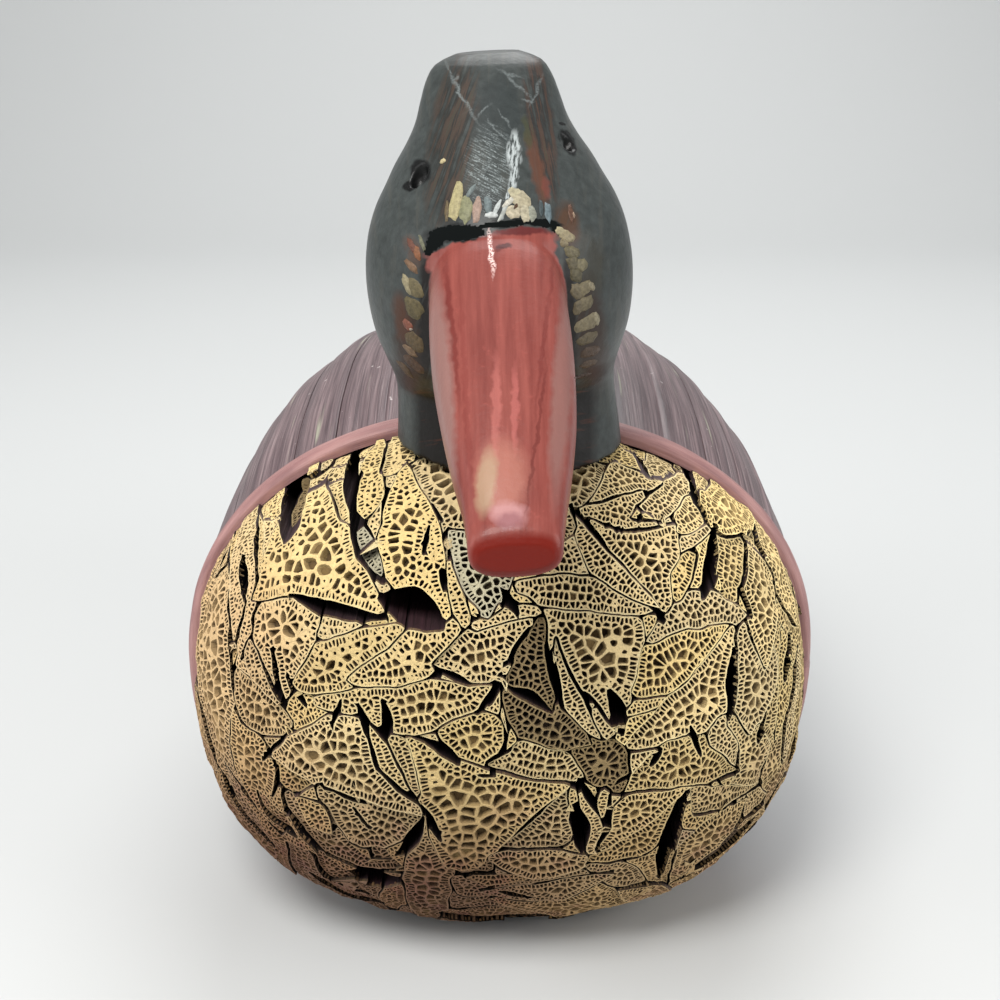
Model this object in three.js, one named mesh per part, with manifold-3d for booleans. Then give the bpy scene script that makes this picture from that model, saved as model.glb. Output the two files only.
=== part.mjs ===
// Duck decoy: a carved wooden head on a body of bundled dried stalks.
// Millimetres, +Z up, the bill pointing along -Y. The stalks lie fore and aft and their cut
// ends form the round breast. Strips of leaf sheath cover the back, behind one flat rim band.
// Places below are given from the band, y = 0, and the whole duck is centred at the end.

import * as THREE from "three";
import { mergeVertices } from "three/addons/utils/BufferGeometryUtils.js";
import Module from "manifold-3d";

const wasm = await Module();
wasm.setup();

// Driving dimensions
const BILL_TIP = -108;
const TAIL_END = 222;
const GAP = 0.35;
const WELD = 1e-4;
const POINT_SPACING = 0.01;

const UPPER_POWER = 2.15;
const LOWER_POWER = 2.4;
const BREAST_RIM = -5.3;
const BREAST_DEPTH = 57;
const BREAST_POWER = 2.2;
const BREAST_RINGS = [1, 0.985, 0.94, 0.85, 0.7, 0.5, 0.25];
const RIM_STEP = 0.05;
const BODY_STEP = 10;

const STRIP_THICKNESS = 1.75;
const STRIP_CROWN = 0.7;
const STRIP_START = 0.9;
const STRIP_SEAM = 0.4;

const STALK_INSET = 2.25;
const STALK_END = TAIL_END - 3;
const STALK_OVERRUN = 10;
const FACE_TOLERANCE = 0.06;

const BAND_FRONT = -5;
const BAND_BACK = 0.5;
const BAND_PROUD = 1.8;
const BAND_LIP = 0.2;
const BAND_SHOULDER = { share: 0.4, proud: 1.7 };
const BAND_CLEARANCE = 1.3 * GAP;

const EYE_RADIUS = 2.6;
const EYE_TALL = 1.35;
const EYE_SIDES = [14, 8];
const LEFT_EYE = { height: 198.6, degrees: 220, size: EYE_RADIUS };
const RIGHT_EYE = { height: 203.5, degrees: 330, size: 0.8 * EYE_RADIUS };

const GROOVE = { width: 3.4, depth: 4.2, length: 40, tilt: -3, place: [0, -43.5, 189] };
const SEAT_END = 60;
const HEAD_ROLL = -3.2;
const HEAD_ROLL_HEIGHT = 170;

// Wrapped body: place, half width, height of its widest line, reach above and below that line
const BODY_STATIONS = [
  [0, 81.8, 66, 67, 70],
  [30, 82.2, 67, 72, 71],
  [70, 80.2, 68, 74, 72],
  [110, 73, 69, 69.5, 72.5],
  [145, 60, 74, 56, 67],
  [175, 46, 80, 41, 52],
  [200, 34, 88, 26, 32],
  [TAIL_END, 26, 97.5, 13.5, 13.5],
];
const BODY_PLACES = BODY_STATIONS.map(([y]) => y);

// Edges of the sheath strips, in degrees round the body from its +X side, on the body's steps
const STRIP_EDGES = [10, 40, 50, 80, 120, 130, 150, 190, 230, 260, 280, 320];

// Head and neck: height, half width, front, back, roundness of the section
const HEAD_STATIONS = [
  [112, 28.5, -34, 14, 2.2],
  [128, 28.2, -34, 14, 2.2],
  [140, 27.2, -33, 14, 2.2],
  [146, 27, -33.5, 14.5, 2.2],
  [149.5, 27.4, -38, 16, 2.2],
  [153.5, 28.6, -42, 18, 2.2],
  [160, 30.8, -44.5, 20.5, 2.2],
  [166, 31.9, -45.5, 22, 2.2],
  [172, 32.3, -46, 23, 2.2],
  [178, 32, -46, 23.5, 2.2],
  [184.5, 30.8, -45.5, 23.5, 2.15],
  [190, 28.8, -42, 23, 2.15],
  [195, 26, -37.5, 22, 2.15],
  [199, 23.8, -33.5, 21, 2.2],
  [203.5, 20.8, -29, 19.5, 2.3],
  [208, 18.4, -24.5, 18, 2.4],
  [213, 16.8, -19.5, 15.5, 2.4],
  [218, 15, -14.5, 12.5, 2.3],
  [221.5, 12.4, -10.5, 10, 2.2],
  [223.5, 7.5, -6, 6, 2],
];
const HEAD_SIDES = 30;
const FACE_NARROWING = 0.2;

// Bill: place, top, bottom, half width, shift to the side
const BILL_STATIONS = [
  [-30, 189, 151, 15, 0],
  [-46, 186, 149, 16.4, 0],
  [-60, 177, 146.5, 16.9, 0.1],
  [-74, 167, 141.5, 16.4, 0.2],
  [-86, 158, 137, 14.9, 0.3],
  [-96, 149.8, 133.2, 12.4, 0.4],
  [-103, 143.6, 131, 10.9, 0.5],
  [-106.6, 140.8, 130.8, 9.9, 0.5],
  [BILL_TIP, 138.2, 132.6, 7.8, 0.5],
];
const BILL_SIDES = 24;
const BILL_POWER = 2.7;

// Stalk sections on the breast, by hand. Each row holds the first tip (x, z), the last tip
// (x, z), then the swell to the left and to the right of the line between them. A row may add
// the place of its fullest point, how pinched its tips are, and how far the stalk is set back.
// A stalk cuts the ones after it, and the last three fill what the neck and the rim hide.
const STALKS = [
  [-21.5, 71, 15.5, 58.5, -1, 33, { peak: 0.55, pinch: 1.35 }],
  [-56, 61.5, -18.5, 51, 20, 2, { peak: 0.45, pinch: 1.2 }],
  [-61.5, 96.5, -28, 101, 25, -3.5, { peak: 0.52, pinch: 1.1 }],
  [-24, 129, -12.5, 99.5, 5, 9.5, { peak: 0.45 }],
  [19, 121.5, 40, 100, 15, 0.3, { peak: 0.55 }],
  [4, 107, 38, 100.5, 4, 2.5],
  [11.5, 101, 25, 71, 18, 3.5, { peak: 0.35 }],
  [10, 100, 12.5, 78, 0.3, 9, { peak: 0.55, back: 2 }],
  [-16, 90, 8, 100.5, 2.5, 9, { peak: 0.45 }],
  [-37, 84, -10, 99.5, 2.5, 7],
  [-50, 81, -24, 97.5, 4, 6, { peak: 0.4 }],
  [-44, 78, -1.5, 84, 3.5, 8, { peak: 0.55 }],
  [-43, 101, -53, 76, 1, 14, { peak: 0.42 }],
  [-67, 80, -51, 69.5, 3, 10, { peak: 0.55 }],
  [-14.5, 75.5, -5.5, 62, 12, 0.5, { peak: 0.45 }],
  [-5, 63.5, 20.5, 61, 7, 1],
  [1, 83, 22, 69, 4, 6],
  [-17, 50.5, -20, 2, 6.5, 5],
  [0.5, 41, 15.5, 58, -1.5, 11],
  [57.5, 93, 31, 68, 13, 1, { peak: 0.45 }],
  [24, 84, 57, 93, 5, 7],
  [34, 90, 61.5, 94, 10, 2],
  [17.5, 72, 30, 56, 6, 4],
  [30, 56, 60, 54, 13, 0.8, { peak: 0.45 }],
  [25.5, 37.5, 49, 55, 10, 0.5],
  [21, 34, 47, 53, 0.4, 8, { peak: 0.35 }],
  [-3, 38.5, 23, 34, 3.5, 6],
  [44, 17, 64, 45, 9, 3],
  [34, 54, 67, 47, 2, 5],
  [53, 118, 56, 95, 7, 0.5],
  [59, 113, 66, 80, 7, 3],
  [60, 94, 62, 64, 9, 5],
  [57, 71, 62, 44, 9, 8],
  [19, 120, 56, 116, 15, 3],
  [72, 103, 70, 36, 12, 5],
  [-44, 54.5, -18.5, 49.5, 0.5, 15, { peak: 0.45 }],
  [-54, 50, -25, 31, 4, 9],
  [-66, 72, -55, 36, 5, 7],
  [-66, 112, -68, 40, 6, 12],
  [-58, 119, -26, 132, 8, 9],
  [-54, 34, -22, 6, 8, 17],
  [-8, 25, 72, 30, 5, 26],
  [-13, 118, -3, 100, 12, 2],
  [-72, 50, -48, 14, 14, 12],
  [-15, 28, 16, 6, 14, 12],
  [-32, 129, 32, 129, 15, 17],
];
const LEAF_STEPS = 6;

const look = (color, roughness) =>
  new THREE.MeshStandardMaterial({ color, roughness, metalness: 0 });
const HEAD_LOOK = look(0x5d6462, 0.35);
const STALK_LOOK = look(0xd2c08b, 0.85);
const STRIP_LOOK = look(0x7b646b, 0.6);
const BAND_LOOK = look(0xa8737a, 0.6);

// Signed power, for the rounded sections
const bend = (value, power) => Math.sign(value) * Math.abs(value) ** power;

// Smooth interpolation between rows of a station table by their first column
function stationAt(table, place) {
  const last = table.length - 1;
  let row = 0;
  while (row < last - 1 && place > table[row + 1][0]) row += 1;
  const before = table[Math.max(row - 1, 0)];
  const start = table[row];
  const end = table[row + 1];
  const after = table[Math.min(row + 2, last)];
  const span = end[0] - start[0];
  const t = THREE.MathUtils.clamp((place - start[0]) / span, 0, 1);
  return start.map((value, column) => {
    const slopeIn = (end[column] - before[column]) / (end[0] - before[0]);
    const slopeOut = (after[column] - value) / (after[0] - start[0]);
    const rise = value * (1 + 2 * t) * (1 - t) ** 2 + end[column] * t * t * (3 - 2 * t);
    return rise + span * (slopeIn * t * (1 - t) ** 2 - slopeOut * t * t * (1 - t));
  });
}

// Point of the body's section at an angle, moved out by grow, and flat underneath
function sectionPoint([, half, middle, up, down], angle, grow, scale = 1) {
  const side = Math.cos(angle);
  const rise = Math.sin(angle);
  const power = 2 / (rise >= 0 ? UPPER_POWER : LOWER_POWER);
  const reach = rise >= 0 ? up : down;
  const x = (half * scale + grow) * bend(side, power);
  const z = middle + (reach * scale + grow) * bend(rise, power);
  return [x, Math.max(z, Math.max(-grow, 0))];
}

// Closed mesh over rings of points. Its ends are capped by a fan, by rungs between the two
// halves of the ring, or not at all where the last ring meets the first.
function skin(rings, cap) {
  const sides = rings[0].length;
  const points = rings.flat();
  const faces = [];
  const at = (ring, side) => (ring % rings.length) * sides + (side % sides);
  const bands = cap === "none" ? rings.length : rings.length - 1;
  for (let ring = 0; ring < bands; ring += 1) {
    for (let side = 0; side < sides; side += 1) {
      faces.push(at(ring, side), at(ring, side + 1), at(ring + 1, side + 1));
      faces.push(at(ring, side), at(ring + 1, side + 1), at(ring + 1, side));
    }
  }
  const ends = cap === "none" ? [] : [[0, false], [rings.length - 1, true]];
  for (const [ring, flip] of ends) {
    const add = (a, b, c) => (flip ? faces.push(a, b, c) : faces.push(a, c, b));
    if (cap === "fan") {
      const middle = points.length;
      const loop = rings[ring];
      points.push([0, 1, 2].map((axis) => loop.reduce((sum, p) => sum + p[axis], 0) / sides));
      for (let side = 0; side < sides; side += 1) add(middle, at(ring, side), at(ring, side + 1));
    } else {
      for (let rung = 0; rung < sides / 2 - 1; rung += 1) {
        const far = sides - 1 - rung;
        add(at(ring, rung), at(ring, rung + 1), at(ring, far));
        add(at(ring, rung + 1), at(ring, far - 1), at(ring, far));
      }
    }
  }
  const geometry = new THREE.BufferGeometry();
  geometry.setAttribute("position", new THREE.Float32BufferAttribute(points.flat(), 3));
  geometry.setIndex(faces);
  return geometry;
}

// Solid from a closed mesh, with its faces turned outwards
function solid(geometry) {
  const bare = geometry.clone();
  bare.deleteAttribute("normal");
  bare.deleteAttribute("uv");
  const merged = mergeVertices(bare, WELD);
  const vertProperties = new Float32Array(merged.attributes.position.array);
  const triVerts = new Uint32Array(merged.index.array);
  if (enclosedVolume(vertProperties, triVerts) < 0) triVerts.reverse();
  return new wasm.Manifold(new wasm.Mesh({ numProp: 3, vertProperties, triVerts }));
}

function enclosedVolume(vertices, triangles) {
  const corner = (index) => new THREE.Vector3().fromArray(vertices, 3 * index);
  let total = 0;
  for (let i = 0; i < triangles.length; i += 3) {
    const [a, b, c] = [0, 1, 2].map((k) => corner(triangles[i + k]));
    total += a.dot(b.cross(c)) / 6;
  }
  return total;
}

// Named mesh from a solid
function named(name, body, material) {
  const { vertProperties, triVerts } = body.getMesh();
  const geometry = new THREE.BufferGeometry();
  geometry.setAttribute("position", new THREE.Float32BufferAttribute(vertProperties, 3));
  geometry.setIndex(Array.from(triVerts));
  geometry.computeVertexNormals();
  const mesh = new THREE.Mesh(geometry, material);
  mesh.name = name;
  return mesh;
}

function largestPiece(body) {
  const pieces = body.decompose();
  return pieces.reduce((best, piece) => (piece.volume() > best.volume() ? piece : best));
}

const circle = (sides) => Array.from({ length: sides }, (_, i) => (2 * Math.PI * i) / sides);
const numbered = (stem, index) => `${stem}_${String(index + 1).padStart(2, "0")}`;

// Body outline: the rounded breast, then the wrapped length behind the rim
function bodyForm(breastGrow, backGrow, rim, end) {
  const angles = circle(360 / BODY_STEP);
  const front = stationAt(BODY_STATIONS, 0);
  const ring = (station, y, grow, scale) =>
    angles.map((angle) => {
      const [x, z] = sectionPoint(station, angle, grow, scale);
      return [x, y, z];
    });
  const breast = [...BREAST_RINGS].reverse().map((scale) => {
    const depth = BREAST_DEPTH * (1 - scale ** BREAST_POWER) ** (1 / BREAST_POWER);
    return ring(front, rim - depth - breastGrow, breastGrow, scale);
  });
  const tip = angles.map(() => [0, rim - BREAST_DEPTH - breastGrow, front[2]]);
  const between = BODY_PLACES.filter((y) => y > 0 && y < end);
  const places = [rim + RIM_STEP, STRIP_START, ...between, end];
  const back = places.map((y) => ring(stationAt(BODY_STATIONS, Math.max(y, 0)), y, backGrow));
  return solid(skin([tip, ...breast, ...back], "fan"));
}

// Leaf-shaped section between two tips, moved out by grow
function leafShape([ax, az, bx, bz, left, right, form = {}], grow) {
  const { peak = 0.5, pinch = 1 } = form;
  const length = Math.hypot(bx - ax, bz - az);
  const along = new THREE.Vector2(bx - ax, bz - az).normalize();
  const across = new THREE.Vector2(-along.y, along.x);
  const edge = (swell, direction) =>
    Array.from({ length: LEAF_STEPS + 1 }, (_, i) => {
      const t = i / LEAF_STEPS;
      const turn = t < peak ? (0.5 * t) / peak : 0.5 + (0.5 * (t - peak)) / (1 - peak);
      const out = direction * (swell * Math.sin(Math.PI * turn) ** pinch + grow);
      const reach = t * (length + 2 * grow) - grow;
      return new THREE.Vector2(ax, az).addScaledVector(along, reach).addScaledVector(across, out);
    });
  const outline = [...edge(right, -1), ...edge(left, 1).reverse()];
  const apart = outline.filter((p, i) => p.distanceTo(outline.at(i - 1)) > POINT_SPACING);
  return new THREE.Shape(apart);
}

function stalkPrism(row, grow) {
  const front = BREAST_RIM - BREAST_DEPTH - STALK_OVERRUN;
  const back = TAIL_END + STALK_OVERRUN;
  const settings = { depth: back - front, bevelEnabled: false };
  const prism = new THREE.ExtrudeGeometry(leafShape(row, grow), settings);
  prism.rotateX(Math.PI / 2);
  prism.translate(0, back, 0);
  return solid(prism);
}

function makeStalks() {
  const bundle = bodyForm(0, -STALK_INSET, BREAST_RIM, STALK_END);
  const grown = STALKS.map((row) => stalkPrism(row, GAP));
  return STALKS.map((row, index) => {
    let stalk = stalkPrism(row, 0);
    for (const earlier of grown.slice(0, index)) stalk = stalk.subtract(earlier);
    stalk = stalk.intersect(bundle);
    const setBack = row[6]?.back ?? 0;
    if (setBack) stalk = stalk.intersect(bundle.translate([0, setBack, 0]));
    const whole = largestPiece(stalk).simplify(FACE_TOLERANCE);
    return named(numbered("stalk", index), whole, STALK_LOOK);
  });
}

// One strip of leaf sheath, crowned across its width, from the band to the tail
function makeStrip(startDegrees, endDegrees, index) {
  const width = endDegrees - startDegrees;
  const inner = Array.from({ length: width / BODY_STEP - 1 }, (_, i) => (i + 1) * BODY_STEP);
  const places = [STRIP_START, ...BODY_PLACES.slice(1)];
  const rings = places.map((y) => {
    const station = stationAt(BODY_STATIONS, y);
    const seam = THREE.MathUtils.radToDeg(STRIP_SEAM / 2 / Math.min(station[1], station[3]));
    const face = (grow, crown) =>
      [seam, ...inner, width - seam].map((across) => {
        const swell = crown * (1 - ((2 * across) / width - 1) ** 2);
        const angle = THREE.MathUtils.degToRad(startDegrees + across);
        const [x, z] = sectionPoint(station, angle, grow + swell);
        return [x, y, z];
      });
    return [...face(-STRIP_THICKNESS, 0), ...face(0, STRIP_CROWN).reverse()];
  });
  return named(numbered("sheath_strip", index), solid(skin(rings, "rungs")), STRIP_LOOK);
}

// Flat rim band, with its front edge sloped towards the breast
function makeBand() {
  const station = stationAt(BODY_STATIONS, 0);
  const inside = BAND_CLEARANCE - STALK_INSET;
  const shoulder = BAND_FRONT + BAND_SHOULDER.share * (BAND_BACK - BAND_FRONT);
  const profile = [
    [BAND_FRONT, inside],
    [BAND_FRONT, BAND_LIP],
    [shoulder, BAND_SHOULDER.proud],
    [BAND_BACK, BAND_PROUD],
    [BAND_BACK, inside],
  ];
  const rings = circle(360 / BODY_STEP).map((angle) =>
    profile.map(([y, grow]) => {
      const [x, z] = sectionPoint(station, angle, grow);
      return [x, y, z];
    }),
  );
  return named("rim_band", solid(skin(rings, "none")), BAND_LOOK);
}

// Point of the head's section: narrower towards the face than behind
function headPoint([z, half, front, back, power], angle) {
  const side = bend(Math.cos(angle), 2 / power);
  const rise = bend(Math.sin(angle), 2 / power);
  const narrowing = 1 - FACE_NARROWING * Math.max(-rise, 0) ** 2;
  return [half * side * narrowing, (front + back) / 2 + ((back - front) / 2) * rise, z];
}

function makeBill() {
  const rings = BILL_STATIONS.map(([y, top, bottom, half, shift]) =>
    circle(BILL_SIDES).map((angle) => {
      const side = bend(Math.cos(angle), 2 / BILL_POWER);
      const rise = bend(Math.sin(angle), 2 / BILL_POWER);
      return [shift + half * side, y, (top + bottom) / 2 + ((top - bottom) / 2) * rise];
    }),
  );
  return solid(skin(rings, "fan"));
}

// Painted groove between forehead and bill, deeper on one side
function makeGroove() {
  const { width, depth, length, tilt, place } = GROOVE;
  const wedge = new THREE.Shape([
    new THREE.Vector2(-width / 2, 0),
    new THREE.Vector2(0, -depth),
    new THREE.Vector2(width / 2, 0),
    new THREE.Vector2(width / 2, depth),
    new THREE.Vector2(-width / 2, depth),
  ]);
  const groove = new THREE.ExtrudeGeometry(wedge, { depth: length, bevelEnabled: false });
  groove.translate(0, 0, -length / 2);
  groove.rotateX(Math.PI / 2);
  groove.rotateZ(Math.PI / 2);
  groove.rotateX(Math.PI / 2);
  groove.rotateY(THREE.MathUtils.degToRad(tilt));
  groove.translate(...place);
  return solid(groove);
}

// Drilled eye pit where the section at this height reaches the given angle
function makeEyePit({ height, degrees, size }) {
  const station = stationAt(HEAD_STATIONS, height);
  const place = headPoint(station, THREE.MathUtils.degToRad(degrees));
  const pit = new THREE.SphereGeometry(size, ...EYE_SIDES);
  pit.scale(1, 1, EYE_TALL);
  pit.translate(...place);
  return solid(pit);
}

function makeHead() {
  const rings = HEAD_STATIONS.map((station) =>
    circle(HEAD_SIDES).map((angle) => headPoint(station, angle)),
  );
  const head = solid(skin(rings, "fan"))
    .subtract(makeGroove())
    .add(makeBill())
    .subtract(makeEyePit(LEFT_EYE))
    .subtract(makeEyePit(RIGHT_EYE))
    .translate([0, 0, -HEAD_ROLL_HEIGHT])
    .rotate([0, HEAD_ROLL, 0])
    .translate([0, 0, HEAD_ROLL_HEIGHT]);
  const seat = bodyForm(GAP, BAND_PROUD + GAP, BAND_FRONT - GAP, SEAT_END);
  return named("head", largestPiece(head.subtract(seat)), HEAD_LOOK);
}

const stripEnds = [...STRIP_EDGES.slice(1), STRIP_EDGES[0] + 360];
const duck = new THREE.Group();
duck.add(makeHead());
duck.add(makeBand());
STRIP_EDGES.forEach((edge, index) => duck.add(makeStrip(edge, stripEnds[index], index)));
duck.add(...makeStalks());
duck.position.y = -(BILL_TIP + TAIL_END) / 2;

export default duck;
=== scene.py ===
import itertools
import math

import bpy
import numpy as np
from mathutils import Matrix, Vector
from mathutils.bvhtree import BVHTree
from mathutils.geometry import delaunay_2d_cdt
from mathutils.kdtree import KDTree


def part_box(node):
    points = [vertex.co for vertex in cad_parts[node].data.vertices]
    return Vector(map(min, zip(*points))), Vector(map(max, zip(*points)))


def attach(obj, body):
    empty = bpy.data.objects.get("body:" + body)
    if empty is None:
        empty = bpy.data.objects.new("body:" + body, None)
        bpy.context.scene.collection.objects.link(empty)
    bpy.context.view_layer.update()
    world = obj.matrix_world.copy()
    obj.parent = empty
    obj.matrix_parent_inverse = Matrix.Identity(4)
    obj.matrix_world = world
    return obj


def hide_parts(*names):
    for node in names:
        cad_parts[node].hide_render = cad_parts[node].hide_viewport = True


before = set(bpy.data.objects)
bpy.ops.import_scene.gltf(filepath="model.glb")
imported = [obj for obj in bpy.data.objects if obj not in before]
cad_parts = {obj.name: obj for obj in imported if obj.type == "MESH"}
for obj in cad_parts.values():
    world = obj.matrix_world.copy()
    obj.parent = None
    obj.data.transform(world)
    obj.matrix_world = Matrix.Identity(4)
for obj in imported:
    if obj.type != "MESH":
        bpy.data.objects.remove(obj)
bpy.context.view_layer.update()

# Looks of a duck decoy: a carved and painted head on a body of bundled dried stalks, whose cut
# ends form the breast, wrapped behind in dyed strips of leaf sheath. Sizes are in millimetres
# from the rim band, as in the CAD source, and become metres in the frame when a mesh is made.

MM = 0.001
BAND_FRONT, BAND_BACK, BAND_PROUD, BAND_LIP = -5.0, 0.5, 1.8, 0.2
BAND_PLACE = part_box("rim_band")[1].y / MM - BAND_BACK

# Body: place, half width, height of its widest line, reach above and below that line
BODY_STATIONS = [
    (0, 81.8, 66, 67, 70),
    (30, 82.2, 67, 72, 71),
    (70, 80.2, 68, 74, 72),
    (110, 73, 69, 69.5, 72.5),
    (145, 60, 74, 56, 67),
    (175, 46, 80, 41, 52),
    (200, 34, 88, 26, 32),
    (222, 26, 97.5, 13.5, 13.5),
]
UPPER_POWER, LOWER_POWER = 2.15, 2.4
BREAST_RIM, BREAST_DEPTH, BREAST_POWER = -5.3, 57.0, 2.2
STALK_INSET, STALK_END = 2.25, 219.0
GAP = 0.35

STRIP_EDGES = [10, 40, 50, 80, 120, 130, 150, 190, 230, 260, 280, 320]
STRIP_THICKNESS, STRIP_CROWN, STRIP_START, STRIP_SEAM = 1.75, 0.7, 0.9, 0.4
TAIL_END = 222.0

# Head and neck: height, half width, front, back, roundness of the section
HEAD_STATIONS = [
    (112, 28.5, -34, 14, 2.2),
    (128, 28.2, -34, 14, 2.2),
    (140, 27.2, -33, 14, 2.2),
    (146, 27, -33.5, 14.5, 2.2),
    (149.5, 27.4, -38, 16, 2.2),
    (153.5, 28.6, -42, 18, 2.2),
    (160, 30.8, -44.5, 20.5, 2.2),
    (166, 31.9, -45.5, 22, 2.2),
    (172, 32.3, -46, 23, 2.2),
    (178, 32, -46, 23.5, 2.2),
    (184.5, 30.8, -45.5, 23.5, 2.15),
    (190, 28.8, -42, 23, 2.15),
    (195, 26, -37.5, 22, 2.15),
    (199, 23.8, -33.5, 21, 2.2),
    (203.5, 20.8, -29, 19.5, 2.3),
    (208, 18.4, -24.5, 18, 2.4),
    (213, 16.8, -19.5, 15.5, 2.4),
    (218, 15, -14.5, 12.5, 2.3),
    (221.5, 12.4, -10.5, 10, 2.2),
    (223.5, 7.5, -6, 6, 2),
]
FACE_NARROWING = 0.2
HEAD_ROLL, HEAD_ROLL_HEIGHT = math.radians(-3.2), 170.0

# Bill: reach in front of the band, top, bottom, half width, shift to the side
BILL_STATIONS = [
    (30, 189, 151, 14.4, -0.4),
    (46, 186, 149, 15.4, -0.4),
    (60, 177, 146.5, 15.5, 0.1),
    (74, 167, 141.5, 14.4, 0.8),
    (86, 158, 137, 12.6, 1.1),
    (96, 149.8, 133.2, 10.6, 1.3),
    (103, 143.6, 131, 9.6, 1.2),
    (106.6, 140.8, 130.8, 9.2, 1.1),
    (108, 138.2, 132.6, 7.6, 1.1),
]
BILL_POWER = 2.7
EYE_RADIUS, EYE_TALL = 2.6, 1.35
LEFT_EYE = (198.6, math.radians(220), EYE_RADIUS)
RIGHT_EYE = (203.5, math.radians(330), 0.8 * EYE_RADIUS)

# The photograph's camera, in millimetres from the band
CAMERA_PLACE = (0.0, -403.0, 250.0)
CAMERA_PITCH = math.radians(19.17)
CAMERA_LENS, SENSOR = 58.6, 36.0
PHOTO_SIZE = 1000
FOCAL = PHOTO_SIZE * CAMERA_LENS / SENSOR
PITCH_COS, PITCH_SIN = math.cos(CAMERA_PITCH), math.sin(CAMERA_PITCH)

# Sections of stalks: first tip (x, z), last tip (x, z), swell to the left and to the
# right of the line between them, and where they differ from the rest, how far they lie back and
# their tone. These cut the CAD stalks where the photo shows two stalks side by side.
SPLITS = [
    (17, 123, 38, 100, 0.3, 5),
    (13, 97, 24, 70, 0.3, 4.5),
    (43, 101, 47.5, 110, 4.5, 0.3),
    (49, 119, 65, 109, 3, 3),
    (36, 124.5, 48, 123.5, 6, 0.3),
    (31, 119, 49, 122, 2.5, 3),
    (46, 126, 57, 116, 2, 2),
    (-52, 124.5, -32, 133.5, 0.3, 4),
    (-30, 126, -20, 131.5, 3, 1.5),
]
# These only fill what the CAD stalks leave, and cut the coarse ones below
SLIVERS = [
    (-31, 72, -16.5, 54.5, 6, 2.5),
    (19, 57.5, 23.5, 37, 3.5, 1),
    (-64, 115, -64, 82, 4, 4.5),
    (-64, 111, -53, 124, 0.3, 3.5),
    (-62, 112.5, -59.5, 100.5, 0.3, 5),
    (-68.5, 107, -67, 96, 2, 2),
    (-61, 100, -67, 78, 0.3, 3),
    (-63, 90, -52.5, 75.5, 1.5, 4.5),
    (-34.5, 80.5, -27.5, 68.5, 2.5, 0.3),
    (-7, 95.5, 9, 101, 4, 0.3),
    (-16, 118, -9.5, 98.5, 5, 0.3),
    (-5, 112, -0.7, 100.5, 2, 6),
    (-30, 131, -35, 117.5, 3.5, 2),
    (-6, 24, 29, 29.5, 1.5, 8),
    (-16, 10, 14, 8, 6, 4),
    (16.5, 58.5, 22, 42, 1.5, 1),
    (26, 58.5, 22.5, 38, 1.5, 1),
    (21, 33, 38, 22, 5, 4),
    (29, 24, 46, 12, 4, 6),
    (54, 71, 57, 50, 4, 4),
    (66, 109, 76.5, 84, 2, 2),
    (71, 88, 70, 58, 5, 0.3),
    (77, 80, 73, 48, 2, 2),
    (59, 44, 70, 41, 3, 4),
    (47, 18, 66, 35, 2, 3, {"back": 2.0, "tone": "dark"}),
    (-48, 34, -33, 17, 2, 5),
    (-50, 50, -41, 41, 4, 3),
    (-43, 55, -32, 33, 2.5, 3),
    (-62, 48, -50, 37, 2, 3),
    (-71, 52, -58, 28, 2, 3),
    (-50, 22, -29, 13, 2, 5),
    (-26, 28, -28, 6, 2, 4),
    (-13, 30, 0, 22, 2, 6),
    (-52.5, 126, -53, 110, 4.5, 3.8, {"back": 5.0, "tone": "brown", "floor": True}),
    (-37, 120.5, -27, 106, 2.6, 2.8, {"back": 3.0, "tone": "grey", "floor": True}),
]
COARSE = {33, 34, 35, 37, 38, 39, 40, 41, 42, 44, 45, 46}

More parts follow.
